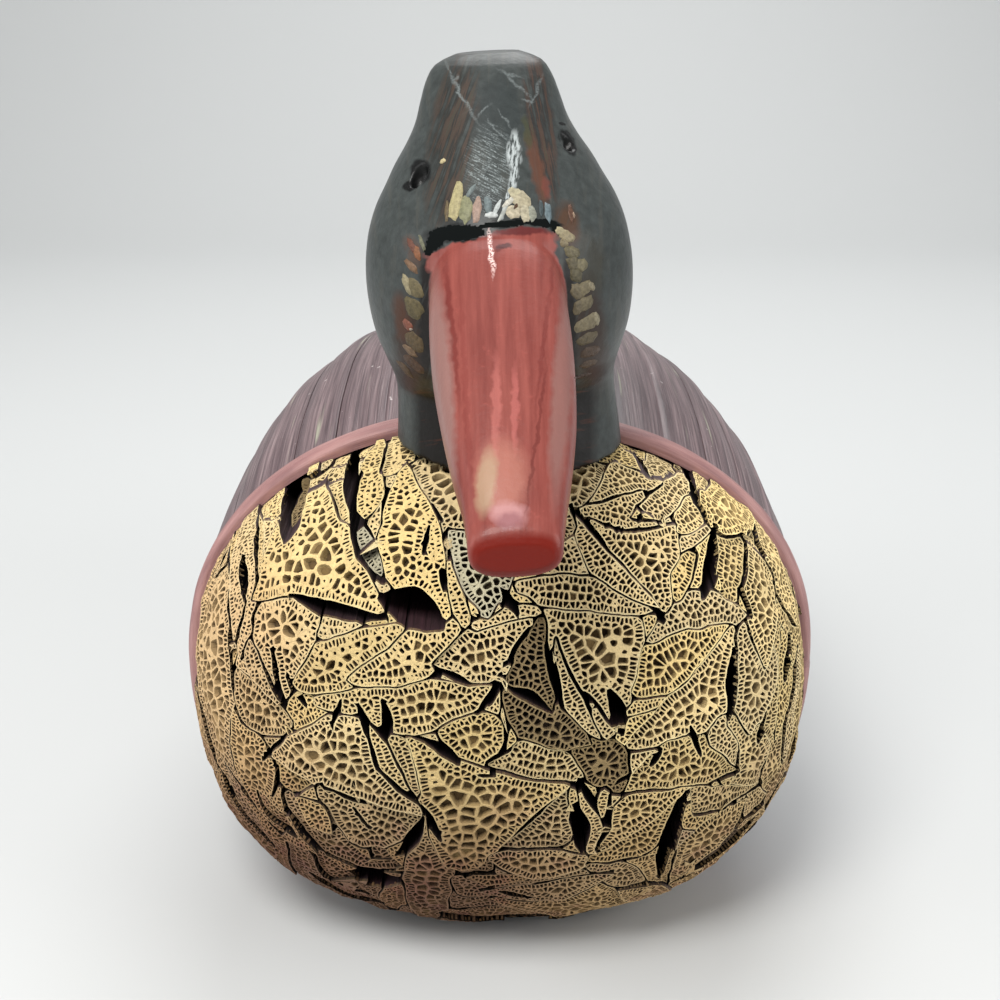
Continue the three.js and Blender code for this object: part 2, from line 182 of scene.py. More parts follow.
# Open voids and cracks between and in the stalks, in the same form
CREVICES = [
    (-52, 101, -26, 99.5, 1.0, 2.4),
    (-29, 103.5, -12.5, 97.5, 5.8, 3.0),
    (-52.5, 126, -53, 110, 4.5, 3.8),
    (-37.5, 129, -36.5, 119.5, 1.8, 2.2),
    (-37, 120.5, -27, 106, 2.6, 2.8),
    (-64.5, 105, -63.5, 96, 1.4, 1.2),
    (-62, 99, -67, 78, 0.4, 0.4),
    (-54.5, 90, -51.5, 75.5, -0.8, 2.2),
    (-52, 83, -46, 75, 0.8, 0.8),
    (-50, 70, -60, 57, 0.5, 0.5),
    (-55, 59, -57.5, 47, 1.4, -0.6),
    (-37.5, 81, -41, 71, 0.4, 0.4),
    (-34, 80, -31, 70, 0.9, 0.9),
    (-28, 81, -27.5, 70, 2.4, 0),
    (-31, 71, -29, 61, 0.5, 0.5),
    (-30, 63, -18, 53, 0.6, 0.6),
    (-19, 54, -14, 42, 1.0, 0.8),
    (-46, 57, -30, 51, 0.3, 0.8),
    (-46.5, 42, -41.5, 40, 0.7, 0.7),
    (-37, 52, -31, 43, 0.35, 0.35),
    (-26, 36, -18.5, 50, 0.4, 2.6),
    (-40, 27, -24.5, 27, 2.5, 4.0),
    (-15.5, 89, -6, 84.5, 1.1, 0.5),
    (0.5, 89, -3, 79, 0.8, 0.8),
    (0, 88, 8, 100, 0.35, 0.5),
    (-0.5, 86, -6, 77, 0.6, 0.5),
    (10.5, 96, 15, 78, 1.2, 1.0),
    (1.5, 84, 12, 78.5, 2.0, 0.8),
    (-18, 71.5, -9, 64, 2.6, 0.2),
    (-5, 65, 3.5, 69.5, 0.4, 0.7),
    (-6, 62.6, 0, 62, 0.4, 0.4),
    (1, 42, 14.5, 57, 0.8, 0.5),
    (18, 55, 20.5, 37, 2.4, 1.8),
    (18.5, 61, 24, 50, 0.9, 0.9),
    (26, 58, 23, 37, 2.6, -1.2),
    (27.5, 57.5, 32.5, 60, 1.2, -0.2),
    (36, 61, 40, 66.5, 0.9, 0.8),
    (25.2, 84, 29.5, 70.5, 2.2, 1.0),
    (19.5, 84, 28, 72, 0.35, 0.35),
    (46, 71.5, 50, 61, 0.6, 0.6),
    (57.5, 89, 56.5, 69, 1.0, 1.2),
    (74.5, 85, 72.5, 73, 1.3, 1.0),
    (67, 69, 64.5, 60, 1.0, 1.0),
    (46, 53, 41, 22, 0.8, 3.4),
    (46, 20, 62, 32, 1.0, 2.0),
    (-2, 24.5, 9, 20.5, 0.8, 0.7),
    (34, 128, 38, 124, 0.8, 0.8),
    (33, 121, 36.5, 118.5, 0.5, 0.5),
    (48, 126, 49.5, 117.5, 1.0, 1.0),
    (54, 114, 49, 99.5, 2.4, 1.8),
    (58.5, 101, 62, 92, 1.2, -0.3),
    (14.5, 124, 39, 101, 0.3, 0.3),
    (0, 107, 4.5, 100.5, 1.2, 1.0),
    (37, 100.5, 40, 96, 1.0, 0.7),
    (-17, 123, -13.5, 119, 0.4, 0.4),
    (-17, 119, -18, 112, 0.5, 0.5),
    (-14, 111, -13, 105, 0.4, 0.4),
    (19, 121, 45, 117.2, -2.2, 2.8),
    (32, 119.5, 45, 115.5, 0.3, 0.3),
    (12.5, 97, 24.5, 72, 0.25, 0.25),
]
LEAF_STEPS = 10

# Stalks whose cells, depth or tone differ from the rest, and the cells of the small pieces
CELL_SCALE = {
    1: 1.2, 2: 1.1, 3: 1.15, 6: 0.85, 7: 1.15, 10: 0.9, 18: 1.25, 20: 1.15, 43: 0.8, 46: 1.7,
}
SMALL_PIECE_SCALE = 0.85
STALK_RECESS = {8: 2.0, 46: 1.0}
STALK_TONES = {8: "brown", 23: "brown", 17: "brown", 43: "grey"}
MOST_RECESS, RECESS_SEED = 1.5, 1000

# Sharing out the breast on a grid: its step, how far a stalk grows into a gap, least areas of a
# piece, a chip and a loop, the wavy sectors that part the chips, the limits at rim and floor, how
# steep a CAD face still is a front, and how many places are worked on at once
GRID, GROWTH = 0.42, 1.1
SMALLEST_PIECE, SMALLEST_CHIP, SMALLEST_LOOP = 3.0, 6.0, 1.0
CHIP_SECTOR, SECTOR_WAVE, SECTOR_WAVE_SIZE = 15.0, 5, 18
RIM_SHARE, FLOOR_LIMIT, FRONT_FACING = 0.997, 0.3, -0.06
MAP_STEPS, CHUNK = 1500, 1500

# Outline of a piece: rounds and strength of smoothing, warp and its size, how far it is drawn in
OUTLINE_ROUNDS, OUTLINE_PULL = 7, 0.6
WARP, WARP_SIZE = 0.4, 4.5
PIECE_SHRINK = 0.21

# Middles of the cells: depth and spacing of two rows along the skin and of one into the tips,
# then of the cells inside and of the small ones that fill up near the skin. The least of each is
# what a place must have to be kept. Along a section cells lie closer than across it.
ROW_DEPTH, ROW_SPACING, TIP_DEPTH = 1.15, 1.0, 0.42
SECOND_DEPTH, SECOND_SPACING = 3.1, 1.6
ROW_LEAST = (0.72 * ROW_DEPTH, 0.72 * ROW_SPACING)
TIP_LEAST = (0.8 * TIP_DEPTH, 0.85 * ROW_SPACING)
SECOND_LEAST = (2.2, 1.25)
INNER_LEAST, FILL_SPACING, FILL_DEPTH = (3.4, 1.62), 1.15, 2.4
ROW_JITTER, ROW_DEPTHS, LEAST_ROW = 0.18, (0.88, 1.12), 3
ALONG_STALK, ACROSS_STALK = 1.35, 0.68
DARTS, LEAST_DARTS, BOX = 2.0, 40, 1.6
COARSE_START, COARSE_RISE, COARSE_MOST = 0.8, 0.1, 1.45
CELL_VARIETY, CELL_VARIETY_SIZE = 0.3, 3.5

# Corners of the cells: how far seeds are mirrored, how close two corners merge, how far one may
# be from the boundary to snap to it, to count as astray or to part, and the longest cell
MIRROR_REACH = 3.2
MERGE, SNAP_REACH, ASTRAY, PART_REACH, FARTHEST_CORNER = 0.12, 0.6, 0.05, 0.45, 6.0
HALVINGS = 9

# Cells: wall inside and at the skin, its spread, how much thicker it is in the upper left, shares
# of nearly closed cells, how ragged the opening is, roundness, and the width from which a cell
# gets points on its sides
WALL, RIM_WALL, LEAST_LUMEN = 0.12, 0.26, 0.07
WALL_SPREAD, UPPER_WALL = (0.7, 1.4), 0.8
CLOSED_CELLS, CLOSED_UPPER, CLOSED_OPENING = 0.05, 0.2, (0.35, 0.6)
RAGGED = (0.84, 1.04)
SMALL_CELL, CELL_ROUNDNESS, WALL_SHARE = 2.0, 7, 0.9
UPPER_LEFT = ((20, -40), (78, 108))

# Pits: narrowing, least and greatest depth, spread of the depth, how much deeper where the stalk
# is not cream, width from which a pit may reach its full depth, and the raised lip
PIT_TAPER, PIT_DEPTH, PIT_SPREAD = 0.7, (0.6, 2.4), (1.6, 1.7)
OLD_DEPTH, FULL_WIDTH, LIP = 0.25, 0.8, 0.05

# Surface of a cut end: waves and grain, how far the skin runs back before it is tucked under the
# band, and how near the rim a stalk may lie
SURFACE_WAVE, SURFACE_WAVE_SIZE, SURFACE_GRAIN = 0.5, 7, 0.12
SKIN_EDGE, TUCK, LEAST_SKIN, LEAST_STALK = 1.3, 0.05, 0.02, 0.5
RIM_LIMIT, RIM_OVERLAP, FLOOR_OVERLAP = 0.965, 0.2, 0.1

# Tones of the cut ends: lit on the right, shaded on the left and towards the floor, given by
# where each begins and is full, with darker blotches towards the floor, patches and chance
# differences between stalks
# In each palette, floor is the tone of the pit floors and deep a painted shade that the floors of
# deeper pits take on.
PALETTES = {
    "cream": {"wall": 0xD7BE87, "rim": 0xDCC995, "floor": 0x7A6237, "deep": 0x332415},
    "brown": {"wall": 0x86724E, "rim": 0x98845C, "floor": 0x453422, "deep": 0x1E140D},
    "grey": {"wall": 0xB9B190, "rim": 0xC2BA9A, "floor": 0x6C6340, "deep": 0x2A2115},
    "dark": {"wall": 0x66563F, "rim": 0x776650, "floor": 0x33271C, "deep": 0x17100C},
}
# Skin at the front of a stalk, and a painted shade for its skin further back in the crevices and at
# its back end
SKIN_NEAR, SKIN_FAR_SHADE = 0x7D6848, 0x2C1B1E
RIGHT_SIDE, RIGHT_LIGHT = (-10, 30), 0.2
LOW_PART, LOW_ON_RIGHT, LOW_SHADE = (72, 26), 0.35, np.array([0.68, 0.79, 0.79])
LEFT_SIDE, LEFT_HEIGHT, LEFT_SHADE = (-35, -62), (120, 90), np.array([0.1, 0.2, 0.2])
PATCH_SIZE, PATCH_LIGHT, CHANCE_LIGHT = 14, 0.1, 0.08
LOW_BLOTCH_SIZE, LOW_BLOTCH_RANGE, LOW_BLOTCH_DARKENING = 5, (0.15, 0.6), np.array([0.12, 0.25, 0.12])
OWN_LIGHT, OWN_TINT = (-0.13, 0.06), np.array([0.03, 0.01, -0.09])
# Painted shade in the pits: share of the wall's tone on a pit's sides, the rest being the shaded floor
# tone, and how far a floor goes towards deep with its depth, low down and by chance
PIT_WALL_SHARE, DEEP_SHADE_SHARE, DEEP_SHADE_ON_LOW, DEEP_SHADE_CHANCE = 0.45, 0.75, 0.5, 0.25
WALL_TOP, RIM_TOP, PIT_SIDE, PIT_FLOOR, SKIN_FRONT, SKIN_SIDE, BACK = range(7)

# Strips: width and length of a face, width of the narrow leaves, the step, groove and wander
# where they lie edge over edge, then relief, size across and length of fibres and waves
COLUMN_WIDTH, ROW_LENGTH, LEAST_COLUMNS = 1.0, 3.0, 8
LEAF_WIDTH, LEAF_STEP, LEAF_GROOVE, LEAF_WANDER, WANDER_SIZE = 13.0, 0.45, 0.35, 0.06, 60
GROOVE_LEFT, GROOVE_RIGHT, EDGE_FADE = (0.07, 0), (0.95, 1), 0.04
FIBRE_RELIEF, FIBRE_SIZE, FIBRE_LENGTH = 0.16, 1.3, 45
WAVE_RELIEF, WAVE_SIZE, WAVE_LENGTH = 0.2, 4.5, 20
STRIP_OFFSET, STRIP_SHARPNESS = 50.0, 40

# Rim band: place and height of its profile, from the inner front edge round to the inner back,
# then unevenness, waves and shift of its edge, each with its size
BAND_INSIDE = 1.3 * GAP - STALK_INSET
BAND_PROFILE = [
    (BAND_FRONT, BAND_INSIDE), (BAND_FRONT, BAND_LIP - 0.5), (BAND_FRONT, BAND_LIP),
    (-4.4, 0.9), (-3.6, 1.45), (-2.8, 1.7), (-1.8, 1.78), (-0.8, 1.8), (0.1, 1.75),
    (BAND_BACK, 1.5), (BAND_BACK, BAND_INSIDE),
]
BAND_COLUMNS, BAND_SHARPNESS, BAND_OUTER = 420, 50, 0.5
BAND_UNEVEN, BAND_UNEVEN_SIZE, BAND_UNEVEN_LENGTH = 0.14, 1.2, 9
BAND_WAVE, BAND_WAVE_SIZE, BAND_SHIFT, BAND_SHIFT_SIZE = 0.22, 17, 0.3, 14

# Head: points round a section, levels of the neck, rings, inner rings of the seat, rounds that
# bring them down onto the body, the slope of the band there, the voxel of the joined form, and
# where along Y the paint of the front fades out
HEAD_SIDES, BILL_SIDES, EYE_SIDES, EYE_LEVELS = 96, 72, 32, 16
NECK_LEVELS, HEAD_RINGS, BILL_RINGS = 12, 64, 48
NECK_FOOT, NECK_TOP, FIRST_FLOOR = HEAD_STATIONS[0][0], 150.0, 100.0
SEAT_RINGS, SEAT_ROUNDS, SEAT_INNER_ROUNDS, SEAT_PULL = (0.15, 0.35, 0.55, 0.75, 0.9), 25, 12, 0.7
BAND_SLOPE, HEAD_VOXEL = 0.4, 0.62
FRONT_FADE = (6, -6)

# Paint of the head, placed as it falls in the photograph, in its pixels: middle, half length,
# half width and slant in degrees of each stroke or patch, then its strength or tone. Some of the
# patches are painted highlights, reflections and shadows. The raised strokes are low domes:
# share of their size and height of each ring, and height of the top.
DAB_SIDES, DAB_SEED, DAB_RAGGED, DAB_SHADE = 14, 5, 0.17, (0.75, 0.95)
DAB_RINGS = [(1.0, -0.08), (0.93, 0.1), (0.6, 0.24)]
DAB_HEIGHT = 0.28
DABS = [
    (456, 203, 21, 6.5, -80, 0xA69C74),
    (466, 210, 14, 7, -85, 0x8F8F6E),
    (471, 191, 9, 2.4, -55, 0x727C7B),
    (447, 211, 11, 2.4, -88, 0x66583F),
    (477, 210, 14, 4.8, -82, 0xA0887A),
    (488, 205, 9, 4, 80, 0x6F7B7C),
    (491, 215, 7, 3, 0, 0xC4C8C6),
    (497, 208, 10, 2.3, -65, 0xBDC3C1),
    (503, 213, 10, 2.3, -60, 0xC0C4BD),
    (509, 202, 8, 3, -40, 0xBEBBAE),
    (515, 193, 8, 5.5, 20, 0xAFA78A),
    (521, 200, 12, 8.5, 30, 0xB8AE92),
    (513, 212, 9, 7, 0, 0xB6AC94),
    (525, 212, 11, 6, 82, 0xAEA68E),
    (515, 208, 6, 2, -60, 0x4C331F),
    (532, 213, 9, 4.8, 78, 0x9A9C8D),
    (548, 212, 11, 3.6, 82, 0x66757A),
    (541, 208, 9, 2.4, 88, 0x434E50),
    (443, 161, 3.6, 2, -35, 0xBCAE86),
    (412, 246, 9, 3.4, 60, 0x70483A),
    (417, 253, 8, 4, 75, 0x85583C),
    (422, 243, 9, 2, 72, 0x75755F),
    (411, 266, 10, 3.6, 48, 0x7A5F48),
    (407, 284, 11, 4, 68, 0x9A9072),
    (415, 289, 13, 7, 48, 0x6E6448),
    (414, 308, 13, 8, 58, 0x63593D),
    (408, 325, 7, 4, 50, 0x83503F),
    (411, 329, 1.9, 1.8, 0, 0xB9A99A),
    (414, 341, 13, 7, 50, 0x574831),
    (410, 351, 10, 3.2, 45, 0x6F5A45),
    (414, 364, 14, 4.4, 44, 0x4B3728),
    (405, 369, 13, 2.8, 50, 0x574532),
    (571, 214, 10, 2.6, 80, 0x664838),
    (573, 215, 4, 1.9, 75, 0x957E6A),
    (560, 231, 5, 4.4, 30, 0xABA080),
    (567, 236, 10, 5.6, 28, 0x9B8F72),
    (564, 243, 5, 4.6, 60, 0x877B61),
    (572, 252, 8, 6.4, 20, 0x766E55),
    (573, 263, 8, 6.6, 50, 0x6D654E),
    (582, 265, 7, 6.4, 60, 0x7C745A),
    (576, 275, 8, 6.6, 60, 0x665F48),
    (577, 292, 9, 6.4, 75, 0x6E644E),
    (584, 289, 11, 6.6, -42, 0x766C53),
    (591, 286, 6, 3.4, 60, 0x938970),
    (578, 308, 9, 5.4, -60, 0x6A604A),
    (584, 304, 12, 6.6, -38, 0x71674F),
    (587, 323, 15, 7.2, -30, 0x7E745B),
    (596, 319, 7, 3.4, 80, 0x999077),
    (588, 338, 13, 5.6, -26, 0x655A45),
    (590, 351, 11, 5.2, -22, 0x534235),
    (588, 364, 10, 3.2, -20, 0x534335),
    (582, 376, 9, 2.2, -18, 0x43332A),
]
FOREHEAD_PATCHES = [
    ((500, 112, 34, 26, 90), 0.5, 0x262C2D),
    ((537, 168, 32, 7, 76), 0.65, 0x5F3B2B),
    ((527, 132, 15, 4, 80), 0.7, 0x3E3F2B),
    ((546, 188, 10, 4, 80), 0.7, 0x6A3A31),
    ((478, 212, 36, 20, 0), 0.5, 0x17191A),
]
SCRATCHES = [
    (516, 84, 19, 1.3, 40),
    (512, 76, 9, 1.2, 12),
    (536, 90, 14, 1.3, -68),
    (528, 100, 6, 1.2, 10),
    (455, 82, 22, 1.5, 66),
    (466, 103, 20, 1.5, 58),
    (484, 110, 8, 1.2, -48),
    (497, 130, 14, 1.0, 46),
    (505, 118, 10, 0.9, 50),
    (456, 78, 4, 1.2, -80),
]
CHEEK_PAINT_AND_SHADOW_PATCHES = [
    ((410, 345, 46, 15, 84), 0.95, 0x2C1D14),
    ((401, 318, 24, 8, 80), 0.7, 0x482A1A),
    ((414, 252, 16, 8, 70), 0.6, 0x4A3020),
    # near-black line between cheek and bill: dark paint and painted shadow
    ((426, 320, 78, 7, 90), 0.98, 0x100B09),
    ((568, 226, 22, 11, 80), 0.9, 0x4C3526),
    ((590, 335, 56, 16, 86), 0.9, 0x31231B),
    ((590, 262, 30, 14, 84), 0.5, 0x332E20),
    # near-black line between cheek and bill: dark paint and painted shadow
    ((570, 315, 70, 6, 87), 0.98, 0x100B09),
]
BILL_WEAR_HIGHLIGHT_AND_SHADE_PATCHES = [
    ((502, 477, 36, 25, 92), 0.75, 0xA4685A),
    ((486, 483, 31, 10, 97), 0.6, 0xA39072),
    # painted highlight on the rounded edge of the tip, with a darker middle
    ((509, 514, 18, 12, 10), 0.7, 0xB98A8A),
    ((509, 521, 13, 8, 0), 0.6, 0x7C4A50),
    # painted highlights along the top of the bill
    ((496, 405, 46, 4.5, 90), 0.35, 0xC4746C),
    ((515, 408, 40, 3.5, 90), 0.35, 0xC4706A),
    ((536, 440, 70, 1.8, 98), 0.6, 0x5C221E),
    ((452, 330, 70, 3.2, 84), 0.6, 0x5E1F1C),
    # painted reflections on the sides of the bill
    ((441, 385, 105, 12, 86), 0.65, 0x8E726C),
    ((562, 390, 105, 10, 94), 0.65, 0x86655F),
    # painted shadow under the overhang of the forehead
    ((520, 231, 40, 4, -2), 0.75, 0x47151A),
    ((504, 247, 8, 2.6, -14), 0.9, 0x3E1012),
    ((466, 400, 110, 3, 87), 0.35, 0x6A2522),
    ((545, 330, 80, 2.4, 97), 0.4, 0x5E1F1C),
]
# Notch between forehead and bill: black paint and, as the groove is not cut, its painted shadow
NOTCH_BLACK_AND_SHADOW_PATCHES = [
    (457, 233, 33, 9.5, -3),
    (436, 240, 15, 9, -50),
    (430, 248, 9, 6, -60),
    (505, 224, 30, 4, -5),
    (542, 223, 20, 4.5, 6),
    (556, 229, 7, 4, 40),
]
BILL_ROOT = [
    (520, 238, 36, 10, -2),
    (468, 253, 42, 10, -5),
    (441, 261, 15, 12, -30),
    (543, 246, 13, 15, 20),
]
EYE_PATCHES = [
    (420, 172, 13, 10.5, -80),
    (411, 186, 8, 4.5, -20),
    (569, 143, 14, 5.6, 64),
    (562, 123, 3.2, 2, 30),
]
# Pale marks on the lower forehead: scuffs with a painted highlight
WHITE_HIGHLIGHT_MARKS = [
    (514, 152, 20, 6.5, 92),
    (514, 176, 14, 4.5, 100),
    (507, 200, 24, 1.6, 106),
]
# Lower forehead: a painted highlight with pale scuffs in it, and a chip in the paint of the bill
SILVER_HIGHLIGHT_PATCH, NICK = (490, 168, 38, 21, 93), (491, 252, 21, 2.6, 84)
# Middle of the neck in pixels, and how far to the sides the painted shadow under the head reaches
NECK_MIDDLE, NECK_SHADOW_SIDES = 505, (95, 84)

# Brown streaks beside the crown: patch, brush, and where each tone begins and is full
STREAKS = [
    ((452, 140, 84, 22, 98), "left", (
        (0.36, 0.5, 0x22201D), (0.5, 0.56, 0x473A32), (0.6, 0.66, 0x3C3B33))),
    ((541, 130, 78, 13, 84), "right", (
        (0.36, 0.5, 0x24211F), (0.5, 0.56, 0x4B382F), (0.6, 0.66, 0x403E32))),
]
# Brush marks: size of their features across and along, in pixels, slant and detail
BRUSHES = {
    "broad": (9, 70, 0, 4),
    "left": (5, 80, 19, 3),
    "right": (5, 70, -11, 3),
    "hatch": (14, 1.6, 28, 4),
    "crossed": (2, 2, 0, 2),
    "rough": (2.4, 11, 8, 3),
    "swirl": (50, 6, -8, 3),
    "bill": (12, 150, -1, 4),
}
PAINT = {
    "ground": 0x303433, "light ground": 0x404544, "brown ground": 0x4C4B45,
    # silver and white are pale scuffs together with a painted highlight on the lower forehead
    "silver_scuffs_and_highlight": 0x8F9898, "white_scuffs_and_highlight": 0xA9B0B0, "scratch": 0x737A7A,
    # neck is a painted shadow on the neck under the head, with rust streaks of paint within it
    # notch and notch wall are black paint together with the painted shadow of the uncut groove
    "neck": 0x0B0705, "rust": 0x4A2413, "notch": 0x101313, "notch wall": 0x0E1111, "eye": 0x0B0C0C,
    "red": 0x73352F, "light red": 0x8B4840, "worn red": 0x9C5048, "bill end": 0x6E190E,
    "nick": 0xE3C4BE,
}
# From where to where the noise of a brush or of the grain brings in a tone, and between which
# amounts where these aren't 0 and 1, then how strong a tone is at most
SHOWN = {
    "light ground": (0.3, 0.7), "brown ground": (0.52, 0.62), "hatch": (0.46, 0.62),
    "silver_scuffs_and_highlight": (0.35, 0.6), "white_scuffs_and_highlight": (0.42, 0.55), "scratch": (0.3, 0.55),
    "cheek": (0.2, 0.45), "rust": (0.56, 0.66), "bill edge": (0.3, 0.7, -0.15, 0.15),
    "light red": (0.35, 0.65), "worn red": (0.62, 0.75, 0, 0.4), "nick": (0.4, 0.5),
    "dab": (0.3, 0.7, 0.6, 1.15),
}
STRENGTH = {"brown ground": 0.3, "streak": 0.75, "silver_scuffs_and_highlight": 0.9, "scratch": 0.55, "rust": 0.6}
# Grain of the wood and of the raised strokes: scale, detail and roughness
HEAD_GRAIN, DAB_GRAIN, BRUSH_ROUGHNESS = ((0.45, 0.45, 0.45), 4, 0.6), ((1.2, 1.2, 1.2), 3, 0.6), 0.6
# Edges of the patches and of the forms: softness, share of a notch patch that is cut dull, where
# the bill's paint ends outwards and backwards, where its end begins, and where the painted shadow
# on the neck begins
SOFT, STREAK_SOFT, SCRATCH_SOFT, SILVER_HIGHLIGHT_SOFT, NICK_SOFT = 0.3, 0.25, 0.5, 0.35, 0.4
ROOT_SOFT, EYE_SOFT, NOTCH_SHARE = 0.12, 0.15, 0.72
BILL_AWAY, BILL_BEGINS, BILL_END, NECK_SHADOW_HEIGHTS = (0.75, 0.45), (-40.5, -42), (-106.6, -107.5), (150, 146)
WOBBLE, WOBBLE_SCALE = 9, 0.09

HASH_PRIMES = np.array([73856093, 19349663, 83492791], dtype=np.int64)
HASH_SEED, HASH_MIXERS = 7919, ((15, 2246822519), (13, 3266489917))
HASH_SHIFT, HASH_MASK, HASH_RANGE = 16, 0xFFFFFFFF, 0xFFFF
SEED_SHIFT = 0.37
TINY, SMALL = 1e-9, 1e-6
# Least share of the breast's radius, from its middle and from its rim, where a slope is taken,
# and the step across which it is measured
LEAST_RADIUS, LEAST_LEFT, SLOPE_STEP = 1e-4, 1e-3, 0.01


def lattice(cells, seed):
    """Random value from -1 to 1 for each whole-numbered place."""
    key = ((cells * HASH_PRIMES[: cells.shape[1]]).sum(axis=1) + seed * HASH_SEED) & HASH_MASK
    for shift, mixer in HASH_MIXERS:
        key = ((key ^ (key >> shift)) * mixer) & HASH_MASK
    return ((key ^ (key >> HASH_SHIFT)) & HASH_RANGE) / (HASH_RANGE / 2) - 1


def noise(points, size, seed=0):
    """Smooth noise from -1 to 1, with features about size across."""
    places = np.asarray(points, float) / size + SEED_SHIFT * seed
    cells = np.floor(places).astype(np.int64)
    share = smooth(0, 1, places - cells)
    total = np.zeros(len(places))
    for corner in itertools.product((0, 1), repeat=places.shape[1]):
        weight = np.prod(np.where(corner, share, 1 - share), axis=1)
        total += weight * lattice(cells + corner, seed)
    return total


def wave(along, across, size, seed):
    """Noise over places given by two coordinates, the second of which may be one number."""
    along, across = np.broadcast_arrays(along, across)
    return noise(np.stack([along.ravel(), across.ravel()], axis=1), size, seed).reshape(along.shape)


def smooth(low, high, value):
    """0 below low, 1 above high, and a smooth step between them."""
    t = np.clip((np.asarray(value, float) - low) / (high - low), 0, 1)
    return t * t * (3 - 2 * t)


def linear(colour):
    """Scene-linear colour from an sRGB hex number."""
    parts = [(colour >> shift & 255) / 255 for shift in (16, 8, 0)]
    return np.array([c / 12.92 if c <= 0.04045 else ((c + 0.055) / 1.055) ** 2.4 for c in parts])


def bend(value, power):
    return np.sign(value) * np.abs(value) ** power


def turns(ring):
    """Neighbours round a closed ring."""
    return list(zip(ring, ring[1:] + ring[:1]))


def numbers(rows, columns, first=0):
    """Point numbers of a grid, row by row."""
    return (first + np.arange(rows * columns).reshape(rows, columns)).tolist()


def quads(first, second, closed=False):
    """Faces between two rows of point numbers, running on round where closed."""
    faces = [(a, b, d, c) for (a, b), (c, d) in zip(turns(first), turns(second))]
    return faces if closed else faces[:-1]


def station_at(table, places):
    """Rows of a station table at the given places, smoothly interpolated."""
    table = np.array(table, float)
    places = np.atleast_1d(np.asarray(places, float))
    row = np.clip(np.searchsorted(table[:, 0], places) - 1, 0, len(table) - 2)
    start, end = table[row], table[row + 1]
    before, after = table[np.maximum(row - 1, 0)], table[np.minimum(row + 2, len(table) - 1)]
    span = end[:, :1] - start[:, :1]
    t = np.clip((places[:, None] - start[:, :1]) / span, 0, 1)
    slope_in = (end - before) / (end[:, :1] - before[:, :1])
    slope_out = (after - start) / (after[:, :1] - start[:, :1])
    rise = start * (1 + 2 * t) * (1 - t) ** 2 + end * t * t * (3 - 2 * t)
    return rise + span * (slope_in * t * (1 - t) ** 2 - slope_out * t * t * (1 - t))


def section(stations, angles, grow):
    """x and z of the body's section, one row for each station, moved out by grow."""
    half, middle, up, down = (stations[:, k, None] for k in (1, 2, 3, 4))
    side, rise = np.cos(angles), np.sin(angles)
    power = 2 / np.where(rise >= 0, UPPER_POWER, LOWER_POWER)
    x = (half + grow) * bend(side, power)
    z = middle + (np.where(rise >= 0, up, down) + grow) * bend(rise, power)
    return x, np.maximum(z, np.maximum(-grow, 0))


def breast_radius(x, z):
    """How far out a place on the breast lies, 0 at its middle and 1 at the rim."""
    _, half, middle, up, down = BODY_STATIONS[0]
    above = z >= middle
    power = np.where(above, UPPER_POWER, LOWER_POWER)
    reach = np.where(above, up, down)
    return ((np.abs(x) / half) ** power + (np.abs(z - middle) / reach) ** power) ** (1 / power)


def breast_front(x, z):
    """Place along Y of the rounded breast."""
    radius = np.clip(breast_radius(x, z), 0, 1)
    return BREAST_RIM - BREAST_DEPTH * (1 - radius**BREAST_POWER) ** (1 / BREAST_POWER)


def breast_inward(x, z):
    """Unit vectors pointing into the breast from its surface."""
    radius = np.clip(breast_radius(x, z), LEAST_RADIUS, 1)
    left = np.maximum(1 - radius**BREAST_POWER, LEAST_LEFT)
    steep = BREAST_DEPTH * left ** (1 / BREAST_POWER - 1) * radius ** (BREAST_POWER - 1)
    step = SLOPE_STEP
    slope_x = steep * (breast_radius(x + step, z) - breast_radius(x - step, z)) / (2 * step)
    slope_z = steep * (breast_radius(x, z + step) - breast_radius(x, z - step)) / (2 * step)
    inward = np.stack([-slope_x, np.ones_like(slope_x), -slope_z], axis=1)
    return inward / np.linalg.norm(inward, axis=1, keepdims=True)


def flattening():
    """Radii on the breast and how much the flat map enlarges each to keep small shapes true."""
    radius = 1 - np.linspace(1, 0, MAP_STEPS) ** 2
    mean = (BODY_STATIONS[0][1] + BODY_STATIONS[0][3]) / 2
    front = -BREAST_DEPTH * (1 - radius**BREAST_POWER) ** (1 / BREAST_POWER) / mean
    across, along = np.diff(radius), np.diff(front)
    excess = (np.hypot(across, along) - across) / ((radius[1:] + radius[:-1]) / 2)
    return radius, np.exp(np.concatenate([[0], np.cumsum(excess)]))


MAP_RADIUS, MAP_STRETCH = flattening()
MAP_MIDDLE = np.array([0.0, BODY_STATIONS[0][2]])


def stretch(flat):
    """Enlargement of the flat map at the given places on it."""
    reach = breast_radius(flat[:, 0], flat[:, 1])
    return np.interp(reach, MAP_RADIUS * MAP_STRETCH, MAP_STRETCH)


def ring_stretch(ring):
    """Enlargement of the flat map at the given places on the breast."""
    return np.interp(breast_radius(ring[:, 0], ring[:, 1]), MAP_RADIUS, MAP_STRETCH)[:, None]


def folded(flat):
    """x and z on the breast for places on the flat map."""
    return MAP_MIDDLE + (flat - MAP_MIDDLE) / stretch(flat)[:, None]


def on_breast(flat, inward):
    """Points on the breast for places on the flat map, pushed in by the given depths."""
    x, z = folded(flat).T
    base = np.stack([x, breast_front(x, z), z], axis=1)
    return base + np.asarray(inward)[:, None] * breast_inward(x, z)


